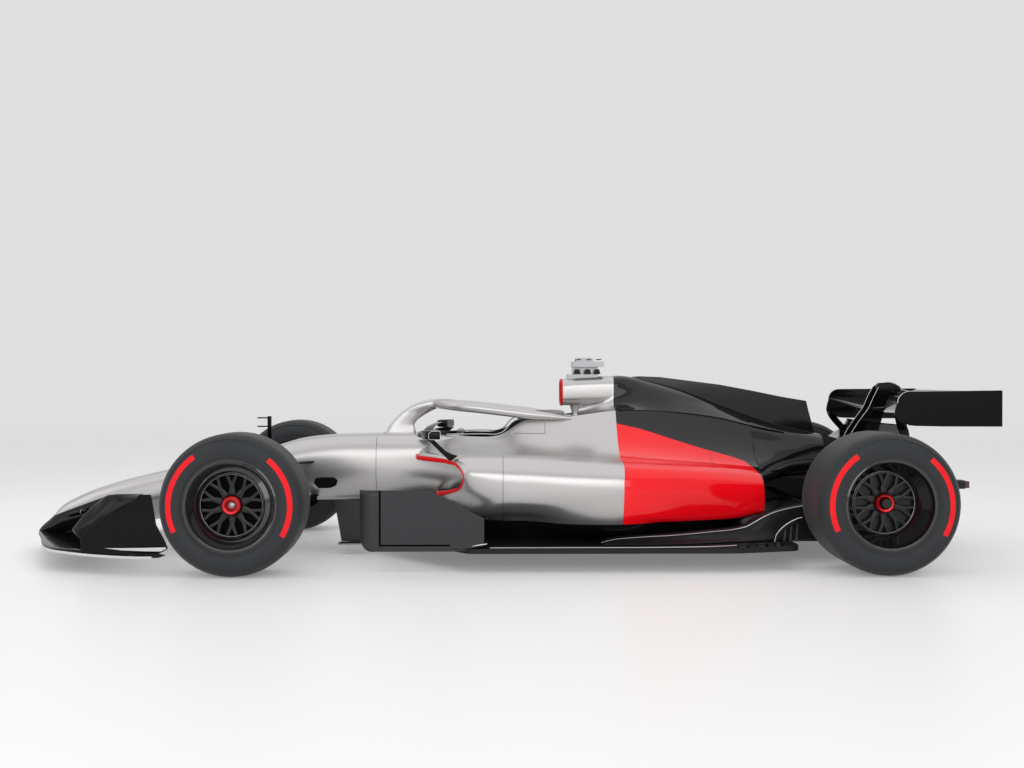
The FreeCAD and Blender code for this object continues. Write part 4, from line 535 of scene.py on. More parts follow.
    def body_paint(self) -> bpy.types.Material:
        """Silver, red and black body paint, laid out by the livery.

        Returns:
            The material.
        """
        material, graph, shader = self.start("body_paint")
        livery = self.effect(graph, self.effects.livery)
        seams = self.effect(graph, self.effects.seams)
        flakes = self.effect(graph, self.effects.flakes, Scale=1100.0, Spread=0.12)["Tone"]
        wear = self.effect(graph, self.effects.handling, Gloss=0.3, Marks=0.05)["Roughness"]
        shade = graph.mix(graph.minus(flakes, 0.5, clamp=True), rgba(SILVER, 0.84), rgba(SILVER, 1.14))
        shade = graph.mix(livery["Black"], shade, rgba(BLACK))
        shade = graph.mix(livery["Red"], shade, rgba(RED))
        shade = graph.mix(seams["Mask"], shade, rgba(SEAM))
        graph.fill(shader, {
            "Base Color": shade,
            "Roughness": graph.minus(wear, graph.times(livery["Black"], 0.2), clamp=True),
            "Metallic": graph.times(graph.minus(1.0, livery["Black"]), 0.82),
            "Coat Weight": graph.times(livery["Black"], 0.28),
            "Coat Roughness": 0.05,
            "Specular IOR Level": 0.25,
            "Normal": graph.bump(seams["Height"], 0.6, 0.002),
        })
        return material

    def tyre_material(self, name: str, station: float, colour: Point) -> bpy.types.Material:
        """Rubber, or the paint printed on it, with rings round one axle.

        Args:
            name: The material's name.
            station: The axle's station.
            colour: Its base colour.

        Returns:
            The material.
        """
        material, graph, shader = self.start(name)
        rings = self.effect(graph, self.effects.rubber, Centre_X=car_x(station), Centre_Z=WHEEL_HEIGHT)
        wear = self.effect(graph, self.effects.handling, Gloss=0.6, Marks=0.12, Scale=12.0)
        shade = graph.mix(graph.minus(rings["Tone"], 0.5, clamp=True), rgba(colour, 0.8),
                          rgba(colour, 1.2, most=1.2))
        graph.fill(shader, {"Base Color": shade, "Roughness": wear["Roughness"], "Sheen Weight": 0.06,
                            "Specular IOR Level": 0.3, "Normal": graph.bump(rings["Height"], 0.22, 0.0005)})
        return material


# Shapes


def spline(points: Points, steps: int, closed: bool = False) -> np.ndarray:
    """A smooth curve through points.

    Args:
        points: The points that the curve passes through.
        steps: Pieces between one point and the next.
        closed: Whether the curve runs back to its first point.

    Returns:
        The curve's points, one a row.
    """
    knots = np.array(points, float)
    count = len(knots)
    ahead = np.roll(knots, -1, 0) - knots
    gaps = np.maximum(np.linalg.norm(ahead, axis=1), NO_LENGTH)
    chords = ahead / gaps[:, None]
    result = []
    for index in range(count if closed else count - 1):
        after = (index + 1) % count
        gap, chord = gaps[index], chords[index]
        leave = arrive = chord
        if closed or index > 0:
            leave = (chords[index - 1] * gap + chord * gaps[index - 1]) / (gap + gaps[index - 1])
        if closed or after < count - 1:
            arrive = (chord * gaps[after] + chords[after] * gap) / (gap + gaps[after])
        for step in range(steps):
            u = step / steps
            ease, near, far = u * u * (3 - 2 * u), u * (u - 1) * (u - 1), u * u * (u - 1)
            blend = knots[index] * (1 - ease) + knots[after] * ease
            result.append(blend + (leave * near + arrive * far) * gap)
    if not closed:
        result.append(knots[-1])
    return np.array(result)


def surface(rows: Sequence[Points], along: int, across: int, closed: bool = False) -> np.ndarray:
    """A smooth grid through rows of control points.

    Args:
        rows: Control points, every row with the same count.
        along: Steps from one row to the next.
        across: Steps from one point of a row to the next.
        closed: Whether each row runs back to its first point.

    Returns:
        The grid's points, by row and column.
    """
    fine = np.array([spline(row, across, closed) for row in rows])
    columns = [spline(fine[:, index], along) for index in range(fine.shape[1])]
    return np.array(columns).transpose(1, 0, 2)


def turns(count: int) -> np.ndarray:
    """Angles spread evenly over a full turn."""
    return np.linspace(0, 2 * math.pi, count, endpoint=False)


def squared(share: float, power: float) -> float:
    """A cosine or sine drawn towards 1 for powers below 1, which squares a ring."""
    return math.copysign(abs(share) ** power, share)


def mirror(points: Points, side: Side) -> list[Point]:
    """Points given for the right side, moved to the side asked for."""
    return [(x, y * side.value, z) for x, y, z in points]


def level(outline: Sequence[Pair], y: float) -> list[Point]:
    """An outline in X and Z, laid at one Y."""
    return [(x, y, z) for x, z in outline]


def section(row: tuple) -> list[Point]:
    """Points across the car, from a row with its station first and then Y and Z of each point."""
    return [(row[0], y, z) for y, z in row[1:]]


def both_sides(half: Points) -> list[Point]:
    """A path from the left to the right, from its right half with the middle point first."""
    return [(x, -y, z) for x, y, z in half[:0:-1]] + list(half)


def tidy(mesh: bpy.types.Mesh, angle: float) -> None:
    """Joins doubled points, turns faces outwards and smooths them.

    Args:
        mesh: The mesh to put in order.
        angle: Faces that meet below this angle, in degrees, are smooth.
    """
    form = bmesh.new()
    form.from_mesh(mesh)
    bmesh.ops.remove_doubles(form, verts=form.verts, dist=MERGE_DISTANCE)
    bmesh.ops.recalc_face_normals(form, faces=form.faces)
    form.to_mesh(mesh)
    form.free()
    mesh.shade_smooth()
    mesh.set_sharp_from_angle(angle=math.radians(angle))


@dataclass
class Workshop:
    """Makes pieces, gives them materials and hangs them on the car's bodies."""

    finishes: Finishes
    count: int = 0
    bevel_segments = 2
    bevel_angle = 40

    def place(self, name: str, mesh: bpy.types.Mesh, finish: str, slot: str | None = None,
              body: str = "root", replaces: tuple[str, ...] = (),
              more: tuple[str, ...] = ()) -> bpy.types.Object:
        """Puts a mesh in the scene as a piece of the car.

        Args:
            name: The piece's name.
            mesh: Its mesh, in the frame.
            finish: The material of its faces.
            slot: The record's material slot, where it isn't the finish's own; not used.
            body: The body that it rides on.
            replaces: Solids that it stands for.
            more: Further materials, for faces with a higher material number.

        Returns:
            The new object.
        """
        piece = bpy.data.objects.new(name, mesh)
        bpy.context.scene.collection.objects.link(piece)
        for label in (finish, *more):
            mesh.materials.append(self.finishes[label])
        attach(piece, body)
        if replaces:
            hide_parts(*replaces)
        self.count += 1
        LOG.info("%s on %s", name, body)
        return piece

    def from_faces(self, name: str, points: Points, faces: list[tuple[int, ...]], finish: str,
                   angle: float = 32.0, marks: list[int] | None = None, **rest: object) -> bpy.types.Object:
        """A piece from points and faces.

        Args:
            name: The piece's name.
            points: Its points.
            faces: Point numbers of each face.
            finish: The material of its faces.
            angle: Faces that meet below this angle are smooth.
            marks: A material number for each face.
            **rest: What else place takes.

        Returns:
            The new object.
        """
        mesh = bpy.data.meshes.new(name)
        in_frame = np.asarray(points, float) + (FRONT_AXLE_X, 0.0, 0.0)
        mesh.from_pydata([tuple(map(float, point)) for point in in_frame], [], faces)
        if marks:
            mesh.polygons.foreach_set("material_index", marks)
        tidy(mesh, angle)
        return self.place(name, mesh, finish, **rest)

    def skin(self, name: str, grid: np.ndarray, finish: str, closed: bool = False,
             ends: tuple[bool, bool] = (False, False), thick: float = 0.0,
             **rest: object) -> bpy.types.Object:
        """A piece from a grid of points.

        Args:
            name: The piece's name.
            grid: Points by row and column.
            finish: The material of its faces.
            closed: Whether each row joins its own start.
            ends: Whether the first and the last row are filled.
            thick: Thickness laid inwards, in metres.
            **rest: What else from_faces and place take.

        Returns:
            The new object.
        """
        rows, columns = grid.shape[:2]
        faces = []
        for row in range(rows - 1):
            here, there = row * columns, (row + 1) * columns
            for column in range(columns if closed else columns - 1):
                after = (column + 1) % columns
                faces.append((here + column, here + after, there + after, there + column))
        if ends[0]:
            faces.append(tuple(range(columns)))
        if ends[1]:
            faces.append(tuple(range((rows - 1) * columns, rows * columns)))
        piece = self.from_faces(name, grid.reshape(-1, 3), faces, finish, **rest)
        if thick:
            shell = piece.modifiers.new("Thickness", "SOLIDIFY")
            shell.thickness = thick
            shell.offset = -1.0
        return piece

    def sweep(self, name: str, path: Points, sizes: Sequence[float] | Sequence[Pair], finish: str,
              up: Point = (0, 0, 1), sides: int = 16, power: float = 1.0,
              ends: tuple[bool, bool] = (True, True), closed: bool = False,
              **rest: object) -> bpy.types.Object:
        """A bar along a path, with a round or flattened section.

        Args:
            name: The piece's name.
            path: Points of its centre line.
            sizes: Half widths across and along up, one pair or a pair for each point.
            finish: The material of its faces.
            up: The direction that the second half width lies in.
            sides: Sides of the section.
            power: Below 1 the section is squarer, at 1 it is an ellipse.
            ends: Whether the ends are closed.
            closed: Whether the path is a ring.
            **rest: What else from_faces and place take.

        Returns:
            The new object.
        """
        line = np.array(path, float)
        pairs = np.array(sizes, float)
        if pairs.ndim == 1:
            pairs = np.tile(pairs, (len(line), 1))
        elif len(pairs) != len(line):
            spots = np.linspace(0, len(pairs) - 1, len(line))
            known = np.arange(len(pairs))
            pairs = np.stack([np.interp(spots, known, pairs[:, part]) for part in (0, 1)], 1)
        heading = np.roll(line, -1, 0) - np.roll(line, 1, 0) if closed else np.gradient(line, axis=0)
        heading /= np.linalg.norm(heading, axis=1)[:, None]
        beside = np.cross(np.array(up, float), heading)
        beside /= np.maximum(np.linalg.norm(beside, axis=1), NO_LENGTH)[:, None]
        over = np.cross(heading, beside)
        turn = turns(sides)
        wide = np.sign(np.cos(turn)) * np.abs(np.cos(turn)) ** power
        tall = np.sign(np.sin(turn)) * np.abs(np.sin(turn)) ** power
        grid = (line[:, None] + beside[:, None] * (pairs[:, :1] * wide)[:, :, None]
                + over[:, None] * (pairs[:, 1:] * tall)[:, :, None])
        if closed:
            grid = np.concatenate([grid, grid[:1]])
            ends = (False, False)
        return self.skin(name, grid, finish, closed=True, ends=ends, **rest)

    def plate(self, name: str, outline: Points, shift: Point, finish: str, bevel: float = 0.0,
              **rest: object) -> bpy.types.Object:
        """A flat plate from an outline, pushed through its thickness.

        Args:
            name: The piece's name.
            outline: Points round one face.
            shift: From that face to the other.
            finish: The material of its faces.
            bevel: Width of the rounding of its edges.
            **rest: What else from_faces and place take.

        Returns:
            The new object.
        """
        near = np.array(outline, float)
        far = near + np.array(shift, float)
        count = len(near)
        faces = [tuple(range(count)), tuple(range(2 * count - 1, count - 1, -1))]
        faces += [(i, (i + 1) % count, count + (i + 1) % count, count + i) for i in range(count)]
        piece = self.from_faces(name, np.concatenate([near, far]), faces, finish, **rest)
        if bevel:
            round_off = piece.modifiers.new("Rounding", "BEVEL")
            round_off.width = bevel
            round_off.segments = self.bevel_segments
            round_off.limit_method = "ANGLE"
            round_off.angle_limit = math.radians(self.bevel_angle)
        return piece

    def turned(self, name: str, profile: Sequence[Pair], centre: Pair, finish: str, steps: int = 96,
               mark: Callable[[float, float, float], int] | None = None,
               **rest: object) -> bpy.types.Object:
        """A piece turned round an axle that runs along Y.

        Args:
            name: The piece's name.
            profile: Radius and Y of each point of the profile.
            centre: X and Z of the axle.
            finish: The material of its faces.
            steps: Steps round the axle.
            mark: Gives a material number from the radius, the Y and the angle of a face.
            **rest: What else from_faces and place take.

        Returns:
            The new object.
        """
        angles = turns(steps)
        grid = [[(centre[0] + radius * math.cos(a), y, centre[1] + radius * math.sin(a)) for a in angles]
                for radius, y in profile]
        marks = []
        if mark:
            for (r0, y0), (r1, y1) in zip(profile, profile[1:]):
                marks += [mark((r0 + r1) / 2, (y0 + y1) / 2, a + math.pi / steps) for a in angles]
        return self.skin(name, np.array(grid), finish, closed=True, marks=marks or None, **rest)


# Bodywork


@dataclass(frozen=True)
class HullRing:
    """One section of the nose and chassis."""

    station: float
    half: float
    top: float
    base: float
    lean: float = 0.16
    crown: float = 0.05
    tuck: float = 0.2

    def points(self) -> list[Point]:
        """The section's outline.

        Returns:
            Its points, from the top centre round the right side and back.
        """
        tall = self.top - self.base
        high, low = self.half * (1 - self.lean), self.half * (1 - self.tuck)
        right = [(0.5 * high, self.top - 0.2 * self.crown * tall),
                 (0.84 * high, self.top - self.crown * tall),
                 (high + 0.3 * (self.half - high), self.top - 0.17 * tall),
                 (self.half, self.top - 0.42 * tall), (self.half * 0.985, self.base + 0.34 * tall),
                 (low + 0.2 * (self.half - low), self.base + 0.13 * tall),
                 (0.88 * low, self.base + 0.03 * tall), (0.5 * low, self.base)]
        ring = [(0.0, self.top), *right, (0.0, self.base), *[(-y, z) for y, z in right[::-1]]]
        return [(self.station, y, z) for y, z in ring]


@dataclass
class BodyShell:
    """Nose, chassis, flanks, engine cover and fin, which carry the livery."""

    shop: Workshop
    nose_rings = tuple(HullRing(*row) for row in (
        (-1.344, 0.034, 0.110, 0.092), (-1.336, 0.050, 0.122, 0.090), (-1.310, 0.066, 0.150, 0.090),
        (-1.271, 0.076, 0.183, 0.092), (-1.243, 0.082, 0.210, 0.096), (-1.215, 0.088, 0.243, 0.102),
        (-1.187, 0.092, 0.268, 0.108), (-1.120, 0.100, 0.305, 0.118), (-1.020, 0.112, 0.349, 0.135),
        (-0.944, 0.118, 0.374, 0.150), (-0.874, 0.123, 0.396, 0.165), (-0.780, 0.130, 0.420, 0.182),
        (-0.622, 0.140, 0.458, 0.212), (-0.430, 0.154, 0.505, 0.243), (-0.251, 0.166, 0.541, 0.262),
    ))
    chassis_rings = tuple(HullRing(*row) for row in (
        (-0.250, 0.166, 0.541, 0.262), (-0.120, 0.175, 0.568, 0.274), (0.000, 0.184, 0.594, 0.284),
        (0.187, 0.196, 0.647, 0.292), (0.392, 0.208, 0.668, 0.297, 0.12, 0.035),
        (0.640, 0.230, 0.672, 0.300, 0.1, 0.02), (0.920, 0.268, 0.674, 0.300, 0.06, 0.015),
        (1.100, 0.288, 0.676, 0.250, 0.04, 0.012), (1.334, 0.294, 0.679, 0.200, 0.04, 0.012),
        (1.385, 0.292, 0.726, 0.200, 0.1), (1.422, 0.290, 0.753, 0.200, 0.14),
        (1.480, 0.288, 0.768, 0.200, 0.18), (1.680, 0.280, 0.779, 0.200, 0.2),
        (1.960, 0.275, 0.779, 0.200, 0.2),
    ))
    lip = (
        (0.875, 0.270, 0.560), (0.882, 0.340, 0.562), (0.896, 0.430, 0.563), (0.966, 0.530, 0.561),
        (1.062, 0.620, 0.556), (1.118, 0.700, 0.541), (1.154, 0.750, 0.494), (1.140, 0.720, 0.434),
        (1.080, 0.650, 0.401), (1.026, 0.570, 0.382), (0.998, 0.400, 0.366), (0.990, 0.270, 0.362),
    )
    flank_rows = (
        ((0.892, 0.271, 0.586), (0.900, 0.340, 0.585), (0.914, 0.432, 0.583), (0.984, 0.537, 0.581),
         (1.082, 0.632, 0.575), (1.138, 0.716, 0.556), (1.176, 0.764, 0.497), (1.164, 0.736, 0.422),
         (1.100, 0.662, 0.382), (1.044, 0.578, 0.358), (1.014, 0.402, 0.343), (1.006, 0.272, 0.340)),
        ((0.960, 0.276, 0.628), (0.968, 0.342, 0.614), (0.984, 0.434, 0.603), (1.052, 0.545, 0.596),
         (1.136, 0.648, 0.587), (1.185, 0.728, 0.562), (1.218, 0.776, 0.498), (1.208, 0.756, 0.416),
         (1.150, 0.686, 0.358), (1.096, 0.598, 0.322), (1.060, 0.420, 0.298), (1.046, 0.290, 0.280)),
        ((1.120, 0.288, 0.667), (1.122, 0.338, 0.645), (1.136, 0.432, 0.618), (1.180, 0.550, 0.605),
         (1.234, 0.658, 0.593), (1.262, 0.734, 0.566), (1.284, 0.782, 0.504), (1.276, 0.780, 0.428),
         (1.240, 0.728, 0.344), (1.200, 0.640, 0.278), (1.170, 0.450, 0.225), (1.150, 0.360, 0.112)),
        ((1.340, 0.290, 0.679), (1.340, 0.330, 0.655), (1.345, 0.424, 0.621), (1.360, 0.550, 0.603),
         (1.380, 0.660, 0.591), (1.390, 0.732, 0.565), (1.400, 0.783, 0.502), (1.400, 0.789, 0.436),
         (1.390, 0.774, 0.366), (1.380, 0.704, 0.308), (1.370, 0.570, 0.254), (1.360, 0.445, 0.112)),
    )
    flank_sections = (
        (1.480, (0.258, 0.760), (0.312, 0.706), (0.420, 0.638), (0.550, 0.601),
         (0.660, 0.588), (0.734, 0.561), (0.784, 0.498), (0.790, 0.432),
         (0.776, 0.364), (0.706, 0.306), (0.575, 0.252), (0.475, 0.112)),
        (1.700, (0.242, 0.776), (0.306, 0.716), (0.420, 0.639), (0.550, 0.592),
         (0.660, 0.576), (0.732, 0.548), (0.780, 0.488), (0.788, 0.426),
         (0.776, 0.362), (0.742, 0.300), (0.680, 0.231), (0.475, 0.112)),
        (2.000, (0.228, 0.812), (0.300, 0.727), (0.420, 0.624), (0.545, 0.568),
         (0.640, 0.551), (0.702, 0.526), (0.744, 0.480), (0.755, 0.424),
         (0.748, 0.362), (0.732, 0.293), (0.694, 0.226), (0.430, 0.112)),
        (2.400, (0.196, 0.796), (0.258, 0.702), (0.350, 0.601), (0.442, 0.543),
         (0.512, 0.518), (0.562, 0.492), (0.596, 0.450), (0.604, 0.400),
         (0.590, 0.314), (0.556, 0.238), (0.420, 0.190), (0.360, 0.112)),
        (2.610, (0.168, 0.764), (0.216, 0.676), (0.292, 0.582), (0.370, 0.524),
         (0.430, 0.498), (0.476, 0.472), (0.512, 0.434), (0.522, 0.386),
         (0.514, 0.312), (0.492, 0.248), (0.400, 0.210), (0.340, 0.180)),
        (2.786, (0.140, 0.722), (0.176, 0.645), (0.240, 0.558), (0.308, 0.504),
         (0.362, 0.478), (0.406, 0.455), (0.444, 0.420), (0.458, 0.378),
         (0.454, 0.318), (0.440, 0.272), (0.380, 0.248), (0.320, 0.240)),
    )
    cover_rows = (
        (1.800, (0.243, 0.778), (0.120, 0.779), (0.045, 0.783), (0.030, 0.800), (0.030, 0.840),
         (0.030, 0.900), (0.0, 0.950)),
        (1.880, (0.238, 0.789), (0.140, 0.790), (0.075, 0.800), (0.055, 0.825), (0.060, 0.870),
         (0.060, 0.930), (0.0, 0.970)),
        (1.950, (0.232, 0.800), (0.160, 0.803), (0.110, 0.818), (0.090, 0.848), (0.090, 0.900),
         (0.085, 0.960), (0.0, 1.000)),
        (2.010, (0.227, 0.813), (0.170, 0.822), (0.125, 0.842), (0.103, 0.880), (0.098, 0.930),
         (0.078, 0.988), (0.0, 1.011)),
        (2.200, (0.212, 0.811), (0.180, 0.836), (0.150, 0.866), (0.124, 0.902), (0.088, 0.945),
         (0.044, 0.975), (0.0, 0.984)),
        (2.420, (0.194, 0.793), (0.165, 0.815), (0.135, 0.840), (0.104, 0.866), (0.070, 0.897),
         (0.032, 0.919), (0.0, 0.925)),
        (2.620, (0.166, 0.762), (0.140, 0.780), (0.112, 0.799), (0.083, 0.817), (0.052, 0.835),
         (0.023, 0.846), (0.0, 0.849)),
        (2.790, (0.139, 0.721), (0.116, 0.736), (0.091, 0.750), (0.066, 0.763), (0.041, 0.776),
         (0.018, 0.784), (0.0, 0.786)),
    )
    tail_rows = (
        (2.784, (0.0, 0.788), (0.060, 0.768), (0.139, 0.721), (0.176, 0.645), (0.240, 0.558),
         (0.300, 0.500), (0.330, 0.440), (0.250, 0.385), (0.0, 0.370)),
        (2.990, (0.0, 0.720), (0.038, 0.708), (0.088, 0.680), (0.120, 0.622), (0.150, 0.565),
         (0.165, 0.520), (0.152, 0.465), (0.100, 0.430), (0.0, 0.425)),
        (3.224, (0.0, 0.668), (0.030, 0.661), (0.060, 0.642), (0.084, 0.606), (0.090, 0.568),
         (0.088, 0.530), (0.074, 0.492), (0.042, 0.473), (0.0, 0.470)),
    )
    crease = (
        (2.010, 0.227, 0.814), (2.200, 0.212, 0.812), (2.420, 0.194, 0.794), (2.620, 0.166, 0.763),
        (2.790, 0.139, 0.722), (2.990, 0.088, 0.681),
    )
    airbox_rows = (
        (1.700, 0.092, 0.838, 0.990, 0.055), (1.760, 0.096, 0.838, 0.998, 0.058),
        (1.860, 0.098, 0.839, 1.004, 0.06), (1.960, 0.098, 0.840, 1.008, 0.06),
        (2.020, 0.095, 0.844, 1.008, 0.06),
    )
    airbox_duct_rows = (
        (1.702, 0.084, 0.846, 0.982, 0.05), (1.760, 0.078, 0.854, 0.974, 0.046),
        (1.840, 0.070, 0.864, 0.964, 0.04),
    )
    fin_outline = (
        (2.090, 0.990), (2.110, 1.004), (2.160, 1.008), (2.283, 1.003), (2.434, 0.984), (2.637, 0.958),
        (2.820, 0.924), (2.991, 0.889), (3.145, 0.863), (3.160, 0.800), (3.190, 0.690), (3.196, 0.650),
        (2.99, 0.700), (2.607, 0.830), (2.401, 0.905), (2.129, 0.980),
    )
    cutter_base = 0.235
    cutter_height = 0.8
    duct_depth = 0.27
    duct_end = 1.34

    def build(self) -> None:
        """Makes every panel of the shell."""
        self.hull()
        for side in Side:
            self.flank(side)
            self.inlet(side)
        self.cover()
        self.airbox()
        self.fin()
        LOG.info("Body shell done")

    def hull(self) -> None:
        """Nose cone and chassis, with the cockpit cut out of the chassis."""
        nose = surface([ring.points() for ring in self.nose_rings], 5, 4, closed=True)
        self.shop.skin("nose_shell", nose, "body_paint", closed=True, ends=(True, True),
                       replaces=("nose_cone",))
        body = surface([ring.points() for ring in self.chassis_rings], 6, 4, closed=True)
        chassis = self.shop.skin("chassis_shell", body, "body_paint", closed=True,
                                 ends=(True, True), replaces=("survival_cell",))
        opening = spline([(0.985, 0.0, 0), (1.000, 0.100, 0), (1.052, 0.180, 0), (1.150, 0.232, 0),
                          (1.300, 0.246, 0), (1.480, 0.240, 0), (1.570, 0.225, 0), (1.600, 0.180, 0)], 5)
        right = [(x, y) for x, y, _ in opening]
        ring = right + [(x, -y) for x, y in right[:0:-1]]
        cutter = self.shop.plate("cockpit_cutter", [(x, y, self.cutter_base) for x, y in ring],
                                 (0, 0, self.cutter_height), "inside_black")
        self.carve(chassis, cutter)
        rim = spline([(1.000, 0.100, 0.677), (1.052, 0.180, 0.678), (1.150, 0.232, 0.680),
                      (1.250, 0.243, 0.681), (1.325, 0.246, 0.681), (1.352, 0.246, 0.690),
                      (1.420, 0.243, 0.754), (1.446, 0.241, 0.764)], 5)
        for side in Side:
            self.shop.sweep(f"cockpit_edge_{side.word}", mirror(rim, side), (0.005, 0.004), "body_paint",
                            sides=10)

    @staticmethod
    def carve(piece: bpy.types.Object, cutter: bpy.types.Object) -> None:
        """Cuts one piece out of another and removes the cutter.

        Args:
            piece: What is cut.
            cutter: The shape of the hole.
        """
        cut = piece.modifiers.new("Opening", "BOOLEAN")
        cut.object = cutter
        cut.operation = "DIFFERENCE"
        cut.solver = "EXACT"
        cut.material_mode = "TRANSFER"
        graph = bpy.context.evaluated_depsgraph_get()
        graph.update()
        mesh = bpy.data.meshes.new_from_object(piece.evaluated_get(graph))
        piece.modifiers.clear()
        piece.data = mesh
        mesh.shade_smooth()
        mesh.set_sharp_from_angle(angle=math.radians(OPENING_ANGLE))
        bpy.data.objects.remove(cutter)

    def flank(self, side: Side) -> None:
        """One side of the body, from the inlet's lip to the tail.

        Args:
            side: Left or right.
        """
        rows = [self.lip, *self.flank_rows, *map(section, self.flank_sections)]
        rows = [mirror(row, side) for row in rows]
        self.shop.skin(f"flank_{side.word}", surface(rows, 6, 6), "body_paint",
                       replaces=(f"sidepod_{side.word}",), angle=50)
        back = rows[-1] + mirror([(2.786, 0.2, 0.24), (2.786, 0.14, 0.5)], side)
        self.shop.from_faces(f"flank_back_{side.word}", back, [tuple(range(len(back)))], "matt_carbon")

    def inlet(self, side: Side) -> None:
        """The cooling inlet of one side: its red lip, the pale line over it as a painted highlight, and the
        duct behind, with painted shade at its deep end.

        Args:
            side: Left or right.
        """
        lip = spline(mirror(self.lip, side), 8)
        sizes = []
        for index in range(len(lip)):
            share = index / (len(lip) - 1)
            thin = math.exp(-((share - 0.56) / 0.15) ** 2)
            sizes.append((0.0135 - 0.0103 * thin, 0.0085 - 0.005 * thin))
        self.shop.sweep(f"inlet_lip_{side.word}", lip, sizes, "red_lip", sides=12, up=(1, 0, 0))
        # A thin pale line under the lip's top edge: a painted highlight.
        line = [(x - 0.004, y, z - 0.012) for x, y, z in mirror(self.lip[:5], side)]
        self.shop.sweep(f"inlet_line_{side.word}", spline(line, 5), (0.0014, 0.0014), "wing_edge", sides=8)
        ring = np.array(mirror(self.lip, side))
        centre = np.array([1.02, 0.42 * side.value, 0.47])
        rows = []
        for depth, share in ((0.0, 1.0), (0.03, 0.955), (0.12, 0.90), (self.duct_depth, 0.84)):
            row = centre + (ring - centre) * (1.0, share, share)
            if depth:
                gone = depth / self.duct_depth
                drawn_in = np.maximum(row[:, 0], 1.0 - 0.1 * (1 - gone))
                row[:, 0] = drawn_in * (1 - gone) + self.duct_end * gone
            rows.append(row)
        grid = surface(rows, 4, 5)
        # The duct's deep rows and its end cap take the near-black finish: painted shade in the hollow.
        deep_shade_marks = [int(row > 4) for row in range(len(grid) - 1) for _ in range(grid.shape[1] - 1)] + [1]
        self.shop.skin(f"inlet_duct_{side.word}", grid, "body_paint", slot="dark_carbon",
                       ends=(False, True), angle=60, marks=deep_shade_marks, more=("inside_black",))

    def cover(self) -> None:
        """Engine cover and tail, with the dark crease along each side."""
        rows = []
        for row in self.cover_rows:
            half = section(row)
            rows.append(half + [(x, -y, z) for x, y, z in half[-2::-1]])
        self.shop.skin("cover_shell", surface(rows, 8, 5), "body_paint", angle=40,
                       replaces=("engine_cover",))
        rows = []
        for row in self.tail_rows:
            half = section(row)
            rows.append(half + [(x, -y, z) for x, y, z in half[-2:0:-1]])
        self.shop.skin("tail_shell", surface(rows, 8, 4, closed=True), "body_paint", closed=True, angle=40)
        for side in Side:
            self.shop.sweep(f"cover_crease_{side.word}", spline(mirror(self.crease, side), 6),
                            (0.005, 0.0035), "gloss_black", sides=10)

    def airbox(self) -> None:
        """The airbox over the driver's head, with its red lip, its duct and the strut under it."""
        rings = np.array([self.rounded_ring(*row) for row in self.airbox_rows])
        fine = np.array([spline(rings[:, index], 4) for index in range(rings.shape[1])])
        self.shop.skin("airbox_shell", fine.transpose(1, 0, 2), "body_paint", closed=True, angle=40)
        rim = self.rounded_ring(1.700, 0.088, 0.842, 0.986, 0.052)
        self.shop.sweep("airbox_lip", rim, (0.0075, 0.0075), "red_lip", sides=10, closed=True, up=(1, 0, 0))
        # The duct inside the airbox is near-black: painted shade in the hollow.
        inner = np.array([self.rounded_ring(*row) for row in self.airbox_duct_rows])
        self.shop.skin("airbox_duct", inner, "inside_black", closed=True, ends=(False, True))
        strut = [(1.788, 0.0, 0.752), (1.790, 0.0, 0.800), (1.788, 0.0, 0.846)]
        self.shop.sweep("airbox_strut", strut, [(0.020, 0.034), (0.014, 0.028), (0.026, 0.040)],
                        "pale_metal", slot="body_paint", up=(1, 0, 0), sides=20)

    @staticmethod
    def rounded_ring(station: float, half: float, low: float, high: float, soft: float) -> list[Point]:
        """A rounded rectangle across the car.

        Args:
            station: Where it stands.
            half: Half its width.
            low: Its lowest Z.
            high: Its highest Z.
            soft: Radius of its corners.

        Returns:
            Its points.
        """
        ring = []
        for corner, (y, z) in enumerate(((half - soft, high - soft), (soft - half, high - soft),
                                         (soft - half, low + soft), (half - soft, low + soft))):
            for step in range(CORNER_STEPS + 1):
                angle = math.radians(90 * corner + 90 * step / CORNER_STEPS)
                ring.append((station, y + soft * math.cos(angle), z + soft * math.sin(angle)))
        return ring

    def fin(self) -> None:
        """The fin along the engine cover."""
        self.shop.plate("cover_fin", level(self.fin_outline, -0.0045), (0, 0.009, 0), "body_paint",
                        bevel=0.002)


# Wheels


@dataclass(frozen=True)
class WheelSize:
    """Sizes of one wheel, with Y from the wheel's middle plane outwards."""

    half_width: float
    tyre_radius: float
    lip_radius: float
    spoke_radius: float
    dish: float
    hub_face: float
    nut_radius: float = 0.047


